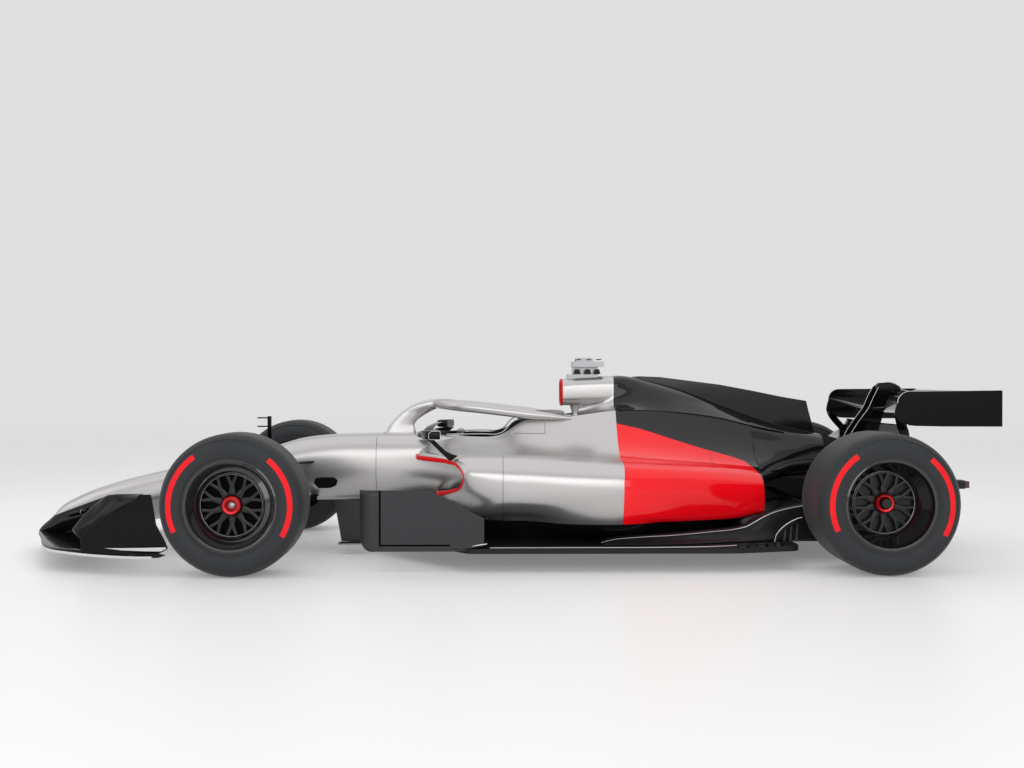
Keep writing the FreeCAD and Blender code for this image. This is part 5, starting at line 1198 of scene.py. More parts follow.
class Wheel:
    """A tyre, a rim with spokes and a nut, dressed over their solids."""

    stations = {"front": 0.0, "rear": WHEELBASE}
    middles = {"front": 0.805, "rear": 0.76}
    stripe_radii = (0.2879, 0.3145)
    stripe_rear = (126, 206)
    stripe_front = (331, 49.5)
    spokes = 10
    spoke_start = 18
    nut_middle = 0.0215

    def __init__(self, shop: Workshop, end: str, side: Side, size: WheelSize) -> None:
        """Keeps what the wheel is made from.

        Args:
            shop: Makes and places pieces.
            end: Front or rear.
            side: Left or right.
            size: The wheel's sizes.
        """
        self.shop, self.end, self.side, self.size = shop, end, side, size
        self.station = self.stations[end]
        self.middle = self.middles[end]
        self.name = f"{end}_{side.word}"
        self.body = f"{self.name}_wheel"

    def out(self, y: float) -> float:
        """Y of the frame for a distance outwards from the wheel's middle."""
        return (self.middle + y) * self.side.value

    def turned(self, name: str, profile: Sequence[Pair], finish: str, **rest: object) -> None:
        """A piece of the wheel, turned round its axle.

        Args:
            name: What follows the wheel's name.
            profile: Radius and distance outwards of each point.
            finish: The material of its faces.
            **rest: What else the workshop's turned takes.
        """
        placed = [(radius, self.out(y)) for radius, y in profile]
        self.shop.turned(f"{self.name}_{name}", placed, (self.station, WHEEL_HEIGHT), finish,
                         body=self.body,
                         **rest)

    def build(self) -> None:
        """Makes tyre, rim, spokes and nut."""
        self.tyre()
        self.rim()
        for index in range(self.spokes):
            self.spoke(index)
        self.nut()

    def tyre(self) -> None:
        """The tyre with its printed stripes."""
        half, top, lip = self.size.half_width, self.size.tyre_radius, self.size.lip_radius
        profile = [(lip - 0.004, half - 0.016), (lip + 0.004, half - 0.010), (lip + 0.012, half - 0.011),
                   (0.244, half - 0.0075), (0.247, half - 0.004), (0.252, half - 0.0038),
                   (0.2545, half - 0.006), (0.270, half - 0.0016), (0.2875, half - 0.0006),
                   (0.288, half - 0.0006), (0.302, half - 0.001), (0.314, half - 0.0035),
                   (0.3145, half - 0.0037), (0.330, half - 0.0098), (0.3325, half - 0.0082),
                   (0.336, half - 0.0095), (0.3385, half - 0.0135), (top - 0.014, half - 0.021),
                   (top - 0.005, half - 0.036), (top - 0.001, half - 0.060), (top, half * 0.4)]
        profile += [(radius, -y) for radius, y in profile[::-1]]
        self.turned("tyre_skin", profile, f"{self.end}_rubber", steps=144, mark=self.stripe,
                    more=(f"{self.end}_stripe",), replaces=(f"{self.name}_tyre",), angle=50)

    def stripe(self, radius: float, y: float, angle: float) -> int:
        """Picks rubber or stripe for a face of the tyre.

        Args:
            radius: The face's radius.
            y: Its Y.
            angle: Its angle round the axle.

        Returns:
            1 under the red stripe, 0 elsewhere.
        """
        if not self.stripe_radii[0] < radius < self.stripe_radii[1] or abs(y) < abs(self.out(0.0)):
            return 0
        turn = math.degrees(angle) % 360
        return int(self.stripe_rear[0] < turn < self.stripe_rear[1]
                   or turn > self.stripe_front[0] or turn < self.stripe_front[1])

    def rim(self) -> None:
        """Rim barrel and dish, with the ring, the pocket and the hub in it."""
        lip, reach, dish, face = (self.size.lip_radius, self.size.spoke_radius, self.size.dish,
                                  self.size.hub_face)
        edge = self.size.half_width - 0.012
        barrel = [(lip - 0.002, edge - 0.012), (lip + 0.001, edge), (lip - 0.006, edge + 0.003),
                  (lip - 0.012, edge - 0.002), (lip - 0.014, edge - 0.020), (lip - 0.022, edge - 0.034),
                  (reach + 0.022, dish + 0.030), (reach + 0.006, dish + 0.008), (reach, dish - 0.012),
                  (reach - 0.004, dish - 0.060)]
        self.turned("rim_dish", barrel, "rim_black", replaces=(f"{self.name}_rim",), angle=40)
        ring = [(reach + 0.0005, dish + 0.002), (reach + 0.001, dish + 0.008),
                (reach + 0.0025, dish + 0.009), (reach + 0.004, dish + 0.008)]
        self.turned("spoke_ring", ring, "grey_metal", angle=40)
        # The pocket is a near-black disc behind the spokes: painted shade where the inside of the wheel
        # lies in shadow.
        pocket = [(0.060, dish - 0.040), (reach - 0.001, dish - 0.042)]
        self.turned("pocket", pocket, "inside_black", slot="rim_black", angle=35)
        hub = [(0.0, face - 0.03), (0.046, face - 0.03), (0.050, face - 0.003), (0.056, face),
               (0.066, face - 0.008), (0.074, face - 0.03), (0.078, dish - 0.060)]
        self.turned("hub", hub, "spoke_black", angle=35)

    def spoke(self, index: int) -> None:
        """One forked spoke.

        Args:
            index: Its number round the wheel.
        """
        reach, dish, face = self.size.spoke_radius, self.size.dish, self.size.hub_face
        turn = math.radians(360 // self.spokes * index + self.spoke_start)
        centre = np.array([self.station, 0.0, WHEEL_HEIGHT])

        def at(radius: float, y: float, swing: float) -> Point:
            """A point at a radius, a distance outwards and a swing in degrees off the spoke."""
            angle = turn + math.radians(swing)
            return tuple(centre + (radius * math.cos(angle), self.out(y), radius * math.sin(angle)))

        fork = 0.6 * reach
        stem = [at(0.052, face - 0.014, 0), at(fork, face - 0.012, 0)]
        self.shop.sweep(f"{self.name}_spoke_{index}", stem, [(0.019, 0.013), (0.0145, 0.011)],
                        "spoke_black", up=(0, 1, 0), sides=10, power=0.7, body=self.body)
        for arm, swing in enumerate((-1, 1)):
            path = [at(fork - 0.006, face - 0.010, 0), at(0.75 * reach, face - 0.008, swing * 4),
                    at(reach - 0.001, dish - 0.006, swing * 9)]
            self.shop.sweep(f"{self.name}_spoke_{index}_{arm}", spline(path, 4),
                            [(0.0105, 0.011), (0.0085, 0.010)], "spoke_black", up=(0, 1, 0), sides=8,
                            power=0.7, body=self.body)

    def nut(self) -> None:
        """Centre nut, red with a grey middle."""
        face, wide = self.size.hub_face, self.size.nut_radius
        profile = [(0.0, face + 0.012), (0.010, face + 0.011), (0.0175, face + 0.006),
                   (0.0205, face - 0.002), (0.023, face - 0.002), (0.027, face + 0.012),
                   (0.033, face + 0.022), (wide - 0.006, face + 0.024), (wide, face + 0.018),
                   (wide, face - 0.02)]
        self.turned("nut_ring", profile, "nut_red", steps=60, more=("grey_metal",), angle=30,
                    mark=lambda radius, y, angle: int(radius < self.nut_middle),
                    replaces=(f"{self.name}_nut",))


# Wings


@dataclass
class FrontWing:
    """End plates, edge strips painted as highlights, camera pods and bridges of the front wing."""

    shop: Workshop
    plate_thick: float = 0.007
    pod_station: float = -1.085
    pod_fullest: float = 0.45

    def build(self) -> None:
        """Makes both sides."""
        for side in Side:
            self.endplate(side)
            self.strips(side)
            self.nose_pod(side)
        LOG.info("Front wing done")

    @staticmethod
    def side_y(x: float) -> float:
        """How far out the end plate stands at a station."""
        return float(np.interp(x, (-0.8, -0.596, -0.32), (0.777, 0.843, 0.888)))

    def endplate(self, side: Side) -> None:
        """The end plate, folded along a line that rises to the rear.

        Args:
            side: Left or right.
        """
        word = side.word
        main = [(-0.800, 0.090), (-0.802, 0.178), (-0.756, 0.231), (-0.640, 0.303), (-0.486, 0.396),
                (-0.474, 0.411), (-0.410, 0.411), (-0.402, 0.371), (-0.392, 0.312), (-0.383, 0.261),
                (-0.359, 0.218), (-0.340, 0.186), (-0.326, 0.155), (-0.321, 0.143), (-0.345, 0.127),
                (-0.369, 0.115), (-0.398, 0.098), (-0.600, 0.090)]
        plate = [(x, self.side_y(x) * side.value, z) for x, z in main]
        self.shop.plate(f"front_endplate_{word}", plate, (0, -self.plate_thick * side.value, 0),
                        "gloss_black", bevel=0.002, replaces=("front_wing_endplates",))
        fold = [(-0.802, 0.174), (-0.788, 0.194), (-0.757, 0.229), (-0.700, 0.264), (-0.640, 0.302),
                (-0.560, 0.350), (-0.486, 0.395), (-0.470, 0.408)]
        crest = [(-0.868, 0.214), (-0.826, 0.268), (-0.722, 0.365), (-0.680, 0.392), (-0.630, 0.402),
                 (-0.560, 0.406), (-0.500, 0.409), (-0.472, 0.411)]
        rows = []
        for share in (0.0, 0.35, 0.7, 1.0):
            row = []
            for (x0, z0), (x1, z1) in zip(fold, crest):
                x, z = x0 + (x1 - x0) * share, z0 + (z1 - z0) * share
                row.append((x, (self.side_y(x0) - 0.002 - 0.055 * share ** 1.5) * side.value, z))
            rows.append(row)
        self.shop.skin(f"front_flap_bridge_{word}", surface(rows, 4, 6), "gloss_black",
                       thick=0.004, angle=60)

    def strips(self, side: Side) -> None:
        """The pale lower edge of the wing and the pale footplate: painted highlights where light catches
        the wing's lower edge and the footplate.

        Args:
            side: Left or right.
        """
        word = side.word
        edge = [(-1.082, 0.590, 0.108), (-1.030, 0.655, 0.106), (-0.975, 0.704, 0.103),
                (-0.890, 0.748, 0.100), (-0.800, 0.786, 0.097), (-0.690, 0.827, 0.096),
                (-0.590, 0.859, 0.096), (-0.480, 0.888, 0.097), (-0.396, 0.901, 0.099)]
        # Pale strip along the wing's lower edge: a painted highlight.
        self.shop.sweep(f"front_edge_strip_{word}", spline(mirror(edge, side), 5),
                        [(0.003, 0.004), (0.005, 0.0065), (0.005, 0.007), (0.005, 0.007), (0.005, 0.007)],
                        "wing_edge", sides=12, power=0.7)
        foot = [(-0.655, 0.834, 0.1375), (-0.560, 0.862, 0.142), (-0.440, 0.884, 0.147),
                (-0.327, 0.900, 0.152), (-0.322, 0.904, 0.147), (-0.350, 0.902, 0.132),
                (-0.440, 0.890, 0.131), (-0.560, 0.866, 0.132)]
        # The footplate is a real plate; its pale finish is a painted highlight.
        self.shop.plate(f"front_footplate_{word}", mirror(foot, side), (0, 0.003 * side.value, -0.001),
                        "wing_edge", bevel=0.001)

    def nose_pod(self, side: Side) -> None:
        """A small camera pod on the side of the nose.

        Args:
            side: Left or right.
        """
        rows = []
        for share in (0.0, 0.06, 0.2, 0.45, 0.75, 0.95, 1.0):
            bulge = math.sqrt(max(0.02, 1 - (1 - min(1.0, share / self.pod_fullest)) ** 2))
            wide = bulge * (1 - 0.35 * max(0, share - self.pod_fullest))
            x = self.pod_station - 0.062 + 0.118 * share
            lift = 0.208 + 0.030 * share
            rows.append([(x, (0.118 + 0.030 * wide * math.cos(a)) * side.value,
                          lift + 0.015 * wide * math.sin(a)) for a in turns(24)])
        self.shop.skin(f"nose_pod_{side.word}", np.array(rows), "gloss_black", closed=True,
                       ends=(True, True), angle=50)
        # A pale ring round the pod: a painted highlight.
        rim = [(x, (abs(y) + 0.001) * side.value, z) for x, y, z in rows[4]]
        self.shop.sweep(f"nose_pod_ring_{side.word}", rim, (0.0012, 0.0012), "wing_edge", up=(1, 0, 0),
                        sides=8, closed=True)


@dataclass
class RearWing:
    """End plates with their lower blades, swan necks and pale edge lines of the rear wing, the lines being
    painted highlights.
    """

    shop: Workshop
    plate_y: float = 0.583
    neck_y: float = 0.045
    neck_half: float = 0.005
    blade_half: float = 0.005

    def build(self) -> None:
        """Makes both sides, then the lower wing and the actuator pod between them."""
        for side in Side:
            self.endplate(side)
            self.neck(side)
        self.lower_wing()
        self.pod()
        LOG.info("Rear wing done")

    def endplate(self, side: Side) -> None:
        """One end plate: a flat panel and the blade that turns in below it.

        Args:
            side: Left or right.
        """
        word = side.word
        corner = [(3.462 + 0.066 * (1 - math.cos(a)), 0.862 + 0.064 * math.sin(a))
                  for a in np.linspace(0, math.pi / 2, 8)]
        panel = [(3.446, 0.792), (3.452, 0.830), *corner, (3.700, 0.9275), (4.026, 0.931), (4.026, 0.737),
                 (3.700, 0.738), (3.560, 0.741), (3.528, 0.744), (3.512, 0.752)]
        y = self.plate_y * side.value
        self.shop.plate(f"rear_endplate_{word}", level(panel, y), (0, -0.012 * side.value, 0),
                        "gloss_black", bevel=0.003, replaces=("rear_wing_endplates",))
        # Pale line along the plate's rounded corner and top edge: a painted highlight.
        line = level([(x, z + 0.0005) for x, z in corner] + [(3.700, 0.928), (3.860, 0.9295)], y)
        self.shop.sweep(f"rear_endplate_line_{word}", line,
                        [(0.002, 0.002), (0.002, 0.0018), (0.001, 0.001)], "wing_edge", sides=8)
        front = [(3.446, 0.580, 0.795), (3.456, 0.574, 0.760), (3.478, 0.545, 0.716), (3.504, 0.505, 0.676),
                 (3.545, 0.462, 0.625), (3.580, 0.435, 0.590)]
        back = [(3.524, 0.580, 0.795), (3.516, 0.574, 0.752), (3.538, 0.545, 0.712), (3.560, 0.505, 0.672),
                (3.592, 0.462, 0.622), (3.612, 0.435, 0.588)]
        rows = []
        for (x0, y0, z0), (x1, y1, z1) in zip(front, back):
            ring = []
            for angle in turns(20):
                share = 0.5 - 0.5 * math.cos(angle)
                y = y0 + (y1 - y0) * share + self.blade_half * math.sin(angle)
                ring.append((x0 + (x1 - x0) * share, y * side.value, z0 + (z1 - z0) * share))
            rows.append(ring)
        self.shop.skin(f"rear_lower_blade_{word}", surface(rows, 4, 1, closed=True), "gloss_black",
                       closed=True, ends=(True, True), angle=50)
        # Pale line along the blade's front edge: a painted highlight.
        self.shop.sweep(f"rear_lower_line_{word}", spline(mirror(front[2:], side), 4), (0.0016, 0.0016),
                        "wing_edge", sides=8)

    def neck(self, side: Side) -> None:
        """One swan neck, from the gearbox over the main plane.

        Args:
            side: Left or right.
        """
        outline = [(3.318, 0.435), (3.350, 0.560), (3.396, 0.674), (3.446, 0.752), (3.500, 0.826),
                   (3.524, 0.880), (3.556, 0.944), (3.576, 0.960), (3.655, 0.966), (3.662, 0.950),
                   (3.632, 0.910), (3.606, 0.868), (3.590, 0.800), (3.566, 0.720), (3.530, 0.600),
                   (3.470, 0.435)]
        y = (self.neck_y + self.neck_half) * side.value
        self.shop.plate(f"swan_neck_{side.word}", level(outline, y),
                        (0, -2 * self.neck_half * side.value, 0), "gloss_black", bevel=0.003,
                        replaces=("rear_wing_pylons",))
        # Pale line along the neck's front edge: a painted highlight.
        edge = spline(level([(x - 0.001, z) for x, z in outline[1:7]], y), 4)
        self.shop.sweep(f"swan_neck_line_{side.word}", edge, (0.0014, 0.0014), "wing_edge", sides=8)

    def lower_wing(self) -> None:
        """The cambered wing that spans between the two lower blades."""
        profile = [(3.396, 0.628), (3.440, 0.640), (3.486, 0.662), (3.524, 0.694), (3.552, 0.738)]
        rows = []
        for y, sweep_back in ((-0.470, 0.0), (-0.300, -0.012), (-0.080, -0.030), (0.080, -0.030),
                              (0.300, -0.012), (0.470, 0.0)):
            rows.append([(x + sweep_back, y, z) for x, z in profile])
        self.shop.skin("rear_lower_wing", surface(rows, 4, 5), "gloss_black", thick=0.006,
                       angle=60)

    def pod(self) -> None:
        """The flap actuator between the necks, with its rod to the flap."""
        rows = []
        for x, half, low, high in ((3.560, 0.012, 0.930, 0.950), (3.568, 0.026, 0.905, 0.965),
                                   (3.600, 0.036, 0.892, 0.969), (3.650, 0.036, 0.892, 0.969),
                                   (3.680, 0.026, 0.902, 0.958), (3.700, 0.014, 0.915, 0.945)):
            middle, tall = (low + high) / 2, (high - low) / 2
            rows.append([(x, half * squared(math.cos(a), 0.6), middle + tall * squared(math.sin(a), 0.6))
                         for a in turns(28)])
        self.shop.skin("wing_actuator", surface(rows, 4, 1, closed=True), "gloss_black",
                       closed=True, ends=(True, True), angle=40)
        # A flat pale strip along the actuator's top: a painted highlight.
        cap = [(3.572, 0.0, 0.969), (3.610, 0.0, 0.973), (3.652, 0.0, 0.972)]
        self.shop.sweep("wing_actuator_line", cap, (0.030, 0.0016), "wing_edge", sides=10)
        self.shop.sweep("wing_actuator_rod", [(3.690, 0, 0.930), (3.760, 0, 0.915), (3.832, 0, 0.895)],
                        (0.005, 0.005), "grey_metal", sides=12)


# Floor and boards


@dataclass
class Underfloor:
    """Boards, keel vanes, floor edge details and the walls ahead of the rear tyres."""

    shop: Workshop
    board_y: float = 0.811
    board_thick: float = 0.008
    board_top: float = 0.4245
    nose_start: float = 0.6235
    vane_y: float = 0.170
    arch_y: float = 0.640
    fences: int = 3
    crest: tuple[Pair, ...] = (
        (1.873, 0.137), (1.940, 0.152), (2.060, 0.162), (2.246, 0.171), (2.450, 0.182), (2.620, 0.194),
        (2.665, 0.204), (2.709, 0.226), (2.760, 0.252), (2.819, 0.275), (2.900, 0.293), (2.980, 0.305),
        (3.060, 0.314),
    )

    def build(self) -> None:
        """Makes both sides."""
        for side in Side:
            self.board(side)
            self.keel_vane(side)
            self.edge(side)
            self.kick(side)
        LOG.info("Underfloor done")

    def board(self, side: Side) -> None:
        """The slotted board ahead of the floor, with its rolled front edge.

        Args:
            side: Left or right.
        """
        word, y = side.word, self.board_y * side.value
        inner = (0, -self.board_thick * side.value, 0)
        panel = [(0.7345, 0.1475), (0.7345, 0.4245), (0.974, 0.4245), (1.262, 0.281), (1.262, 0.150),
                 (1.236, 0.139), (1.200, 0.132), (1.150, 0.126), (1.086, 0.124), (1.086, 0.1475)]
        self.shop.plate(f"board_panel_{word}", level(panel, y), inner, "satin_dark", bevel=0.0015,
                        replaces=("floorboards",))
        rows = []
        for x in (self.nose_start, 0.626, 0.632, 0.645, 0.662, 0.682, 0.704, 0.7255):
            inset = 0.034 * max(0.0, (0.700 - x) / 0.077) ** 2.2
            low = 0.112 + 0.058 * max(0.0, 1 - (x - self.nose_start) / 0.062) ** 2.4
            rows.append([(x, y - inset * side.value, low + (self.board_top - low) * share)
                         for share in (0.0, 0.04, 0.2, 0.5, 0.8, 1.0)])
        self.shop.skin(f"board_nose_{word}", surface(rows, 3, 2), "satin_dark", thick=0.004, angle=50)
        sill = [(0.7255, 0.112), (0.7255, 0.139), (1.0855, 0.139), (1.0855, 0.124), (1.150, 0.122),
                (1.180, 0.116), (1.100, 0.112)]
        self.shop.plate(f"board_sill_{word}", level(sill, y), inner, "satin_dark", bevel=0.0012)
        # A near-black strip set back behind the board: painted shade in the slot between the board's
        # layers.
        back = (self.board_y - 0.014) * side.value
        groove = [(0.722, 0.136), (1.090, 0.136), (1.090, 0.152), (0.739, 0.152), (0.739, 0.4235),
                  (0.722, 0.4235)]
        self.shop.plate(f"board_groove_{word}", level(groove, back), (0, -0.003 * side.value, 0),
                        "inside_black")
        foot = [(1.120, 0.808, 0.122), (1.262, 0.808, 0.147), (1.280, 0.770, 0.149), (1.280, 0.740, 0.147),
                (1.150, 0.745, 0.124)]
        self.shop.plate(f"board_foot_{word}", mirror(foot, side), (0, 0, -0.006), "satin_dark",
                        bevel=0.001)
        # A pale line along the foot's edge: a painted highlight.
        line = mirror([(1.200, 0.813, 0.140), (1.240, 0.8135, 0.147), (1.276, 0.808, 0.151)], side)
        self.shop.sweep(f"board_foot_line_{word}", line, [(0.001, 0.001), (0.002, 0.003), (0.002, 0.0022)],
                        "wing_edge", sides=8)
        brace = mirror([(1.236, 0.806, 0.262), (1.252, 0.700, 0.268), (1.262, 0.560, 0.274)], side)
        self.shop.sweep(f"board_brace_{word}", brace, (0.010, 0.004), "gloss_black", sides=12)

    def keel_vane(self, side: Side) -> None:
        """The raked vane under the keel, with its turned-out foot.

        Args:
            side: Left or right.
        """
        y = self.vane_y * side.value
        panel = [(0.399, 0.302), (0.404, 0.250), (0.420, 0.160), (0.436, 0.066), (0.572, 0.062),
                 (0.578, 0.302)]
        self.shop.plate(f"keel_vane_{side.word}", level(panel, y), (0, -0.006 * side.value, 0),
                        "satin_dark", bevel=0.001, replaces=("keel_vanes",))
        foot = [(0.424, 0.166, 0.064), (0.572, 0.166, 0.064), (0.590, 0.235, 0.060), (0.426, 0.235, 0.060)]
        self.shop.plate(f"keel_foot_{side.word}", mirror(foot, side), (0, 0, -0.004), "satin_dark",
                        bevel=0.001)
        line = mirror([(0.424, 0.236, 0.060), (0.590, 0.236, 0.060)], side)
        self.shop.sweep(f"keel_foot_line_{side.word}", line, (0.002, 0.002), "pale_metal", sides=8)

    def edge(self, side: Side) -> None:
        """The turned-up line along the floor's edge, with three small bumps at its end.

        Args:
            side: Left or right.
        """
        word = side.word
        path = [(1.291, 0.800, 0.129), (1.700, 0.801, 0.130), (2.200, 0.801, 0.131), (2.440, 0.790, 0.133),
                (2.560, 0.772, 0.135)]
        # The edge is carbon; the grey metal finish on it paints the light along the lit edge: a painted
        # highlight.
        self.shop.sweep(f"floor_edge_line_{word}", spline(mirror(path, side), 6), (0.003, 0.003),
                        "grey_metal", slot="dark_carbon", sides=10)
        for index, (x, long, middle) in enumerate(((2.596, 0.036, 0.766), (2.700, 0.034, 0.742),
                                                   (2.790, 0.026, 0.721))):
            rows = []
            for share in np.linspace(-1, 1, 9):
                wide = math.sqrt(max(0.0, 1 - share * share)) + 0.02
                rows.append([(x + long * share, (middle - 0.016 * math.cos(a) * wide) * side.value,
                              0.1235 + 0.022 * wide * math.sin(a)) for a in np.linspace(0, math.pi, 9)])
            self.shop.skin(f"floor_bump_{word}_{index}", np.array(rows), "gloss_black", slot="dark_carbon",
                           angle=60)

    @staticmethod
    def wall_y(x: float) -> float:
        """How far out the wall ahead of the rear tyre stands at a station."""
        return float(np.interp(x, (1.873, 2.3, 2.6, 3.06), (0.660, 0.640, 0.560, 0.470)))

    def kick(self, side: Side) -> None:
        """The two walls that rise ahead of the rear tyre, and the fences between them.

        Args:
            side: Left or right.
        """
        word = side.word
        rows = []
        for x, z in self.crest:
            y = self.wall_y(x)
            rows.append(mirror([(x, y + 0.055, FLOOR_TOP),
                                (x, y + 0.020, FLOOR_TOP + (z - FLOOR_TOP) * 0.35), (x, y, z - 0.012),
                                (x, y - 0.008, z), (x, y - 0.060, z + 0.004)], side))
        self.shop.skin(f"floor_kick_{word}", surface(rows, 5, 5), "floor_carbon", thick=0.004, angle=60)
        # Pale line along the walls' crest: a painted highlight.
        line = mirror([(x, self.wall_y(x) + 0.002, z - 0.003) for x, z in self.crest], side)
        self.shop.sweep(f"floor_kick_line_{word}", spline(line, 5),
                        [(0.001, 0.001), (0.003, 0.003), (0.003, 0.003)], "pale_metal", sides=10)
        arch = [(2.790, 0.132), (2.800, 0.170), (2.828, 0.205), (2.870, 0.236), (2.925, 0.260),
                (2.935, 0.262)]
        inner = [(2.925, 0.245), (2.875, 0.222), (2.838, 0.194), (2.814, 0.165), (2.806, 0.132)]
        y = self.arch_y * side.value
        self.shop.plate(f"floor_arch_{word}", level(arch + inner, y), (0, -0.030 * side.value, 0),
                        "gloss_black", bevel=0.002)
        # Pale line along the arch's outer edge: a painted highlight.
        self.shop.sweep(f"floor_arch_line_{word}", spline(level(arch, y + 0.001 * side.value), 4),
                        (0.0022, 0.0022), "wing_edge", sides=8)
        for index in range(self.fences):
            x, top = 2.838 + 0.032 * index, 0.200 + 0.014 * index
            fence = [(x, 0.132), (x + 0.010, top), (x + 0.018, top), (x + 0.012, 0.132)]
            self.shop.plate(f"floor_fence_{word}_{index}", level(fence, y - 0.012 * side.value),
                            (0, -0.003 * side.value, 0), "satin_dark", bevel=0.0008)


# Halo, mirrors and cockpit


@dataclass
class Cockpit:
    """Halo, mirrors, arm slots, headrest, low deflector and the fins of the camera platform."""

    shop: Workshop
    sweep_back = 0.38
    mirror_tip = 0.756
    stay_slope = 0.24
    fill = 0.8

    def build(self) -> None:
        """Makes everything round the driver."""
        self.halo()
        for side in Side:
            self.mirror(side)
            self.arm_slot(side)
        self.headrest()
        self.screen()
        self.camera_fins()
        LOG.info("Cockpit done")

    def halo(self) -> None:
        """The hoop over the cockpit with its front pylon."""
        half = [(0.972, 0.0, 0.848), (0.985, 0.080, 0.848), (1.030, 0.160, 0.844), (1.110, 0.226, 0.836),
                (1.240, 0.258, 0.824), (1.400, 0.266, 0.805), (1.530, 0.262, 0.790), (1.640, 0.250, 0.779),
                (1.740, 0.238, 0.770)]
        thick = [(0.026, 0.026)] * 6 + [(0.026, 0.026), (0.025, 0.018), (0.022, 0.010)]
        path = spline(both_sides(half), 8)
        self.shop.sweep("halo_hoop", path, thick[:0:-1] + thick, "body_paint", sides=24,
                        replaces=("halo",))
        rows = []
        for z, front, rear, wide in ((0.664, 0.660, 0.846, 0.020), (0.694, 0.678, 0.845, 0.017),
                                     (0.725, 0.696, 0.838, 0.015), (0.746, 0.714, 0.850, 0.015),
                                     (0.772, 0.738, 0.882, 0.016), (0.799, 0.766, 0.927, 0.018),
                                     (0.820, 0.794, 0.971, 0.023), (0.835, 0.820, 1.000, 0.026),
                                     (0.848, 0.847, 1.004, 0.026), (0.858, 0.873, 1.002, 0.024),
                                     (0.867, 0.905, 0.998, 0.019), (0.8725, 0.945, 0.992, 0.010)):
            middle, reach = (front + rear) / 2, (rear - front) / 2
            rows.append([(middle - reach * math.cos(a), wide * squared(math.sin(a), 0.8), z)
                         for a in turns(32)])
        self.shop.skin("halo_pylon", surface(rows, 3, 1, closed=True), "body_paint", closed=True,
                       ends=(False, True), angle=60)
        # A pale plate at the pylon's foot: a painted highlight.
        foot = [(0.660, 0.0, 0.679), (0.672, 0.016, 0.679), (0.715, 0.026, 0.679), (0.800, 0.028, 0.680),
                (0.838, 0.020, 0.680)]
        foot += [(x, -y, z) for x, y, z in foot[:0:-1]]
        self.shop.plate("halo_foot", foot, (0, 0, -0.008), "pale_metal", bevel=0.001)

    def mirror(self, side: Side) -> None:
        """One mirror: its shell, its glass with the pale frame, and two stays.

        Args:
            side: Left or right.
        """
        rows = []
        for station, wide, tall in ((0.966, 0.74, 0.70), (0.970, 0.88, 0.88), (0.978, 0.97, 0.97),
                                    (0.990, 1.0, 1.0), (1.032, 1.0, 1.0), (1.036, 0.97, 0.95)):
            ring = []
            for angle in turns(28):
                y = 0.70 + 0.056 * wide * squared(math.cos(angle), 0.55)
                z = 0.7015 + 0.0255 * tall * squared(math.sin(angle), 0.55)
                ring.append((station + self.sweep_back * (y - self.mirror_tip), y, z))
            rows.append(mirror(ring, side))
        self.shop.skin(f"mirror_shell_{side.word}", np.array(rows), "gloss_black", closed=True,
                       ends=(True, True), replaces=("mirrors",))
        face = [(1.0365 + self.sweep_back * (y - self.mirror_tip), side.value * y, z) for y, z in (
            (0.652, 0.685), (0.660, 0.681), (0.740, 0.681), (0.748, 0.685), (0.748, 0.718), (0.740, 0.722),
            (0.660, 0.722), (0.652, 0.718))]
        self.shop.plate(f"mirror_glass_{side.word}", face, (0.001, 0, 0), "mirror_glass")
        # Pale frame round the glass: a painted highlight along the shell's edge.
        frame = level(((0.975, 0.684), (0.984, 0.6795), (1.030, 0.6795), (1.035, 0.684), (1.035, 0.719),
                       (1.030, 0.7235), (0.988, 0.722), (0.974, 0.710)), 0.757 * side.value)
        self.shop.sweep(f"mirror_frame_{side.word}", frame, (0.0014, 0.0014), "wing_edge", up=(0, 1, 0),
                        sides=8, closed=True)
        outline = [(0.949, 0.686), (0.977, 0.663), (1.024, 0.616), (1.075, 0.565), (1.089, 0.565),
                   (1.122, 0.590), (1.089, 0.600), (1.061, 0.614), (1.024, 0.649), (1.003, 0.670),
                   (0.996, 0.685), (0.958, 0.700)]
        stay = [(x, (0.700 - (0.700 - z) * self.stay_slope) * side.value, z) for x, z in outline]
        self.shop.plate(f"mirror_stay_{side.word}", stay, (0, -0.007 * side.value, 0), "gloss_black",
                        bevel=0.002)
        high = spline(mirror([(0.968, 0.660, 0.706), (0.950, 0.540, 0.712), (0.925, 0.400, 0.704),
                              (0.908, 0.300, 0.690), (0.902, 0.240, 0.674)], side), 5)
        self.shop.sweep(f"mirror_arm_{side.word}", high, [(0.014, 0.004), (0.016, 0.005), (0.024, 0.008),
                                                          (0.030, 0.014)], "gloss_black", sides=14)

    def camera_fins(self) -> None:
        """Dark fins under the camera platform's plate, and painted shade in the slots on its top."""
        for index, (x, y) in enumerate(((1.790, 0.052), (1.850, 0.060), (1.905, 0.052))):
            for side in Side:
                fin = [(x - 0.020, y * side.value, 1.020), (x + 0.022, y * side.value, 1.020),
                       (x + 0.014, y * side.value, 1.048), (x - 0.012, y * side.value, 1.048)]
                self.shop.plate(f"camera_fin_{side.word}_{index}", fin, (0, 0.004 * side.value, 0),
                                "gloss_black", bevel=0.0006)
        # Near-black strips on the plate's top: painted shade in its slots.
        for index, x in enumerate((1.800, 1.860, 1.920)):
            top = [(x - 0.012, -0.076, 1.104), (x + 0.012, -0.076, 1.104), (x + 0.012, 0.076, 1.104),
                   (x - 0.012, 0.076, 1.104)]
            self.shop.plate(f"camera_slot_{index}", top, (0, 0, 0.0035), "inside_black",
                            bevel=0.0008)

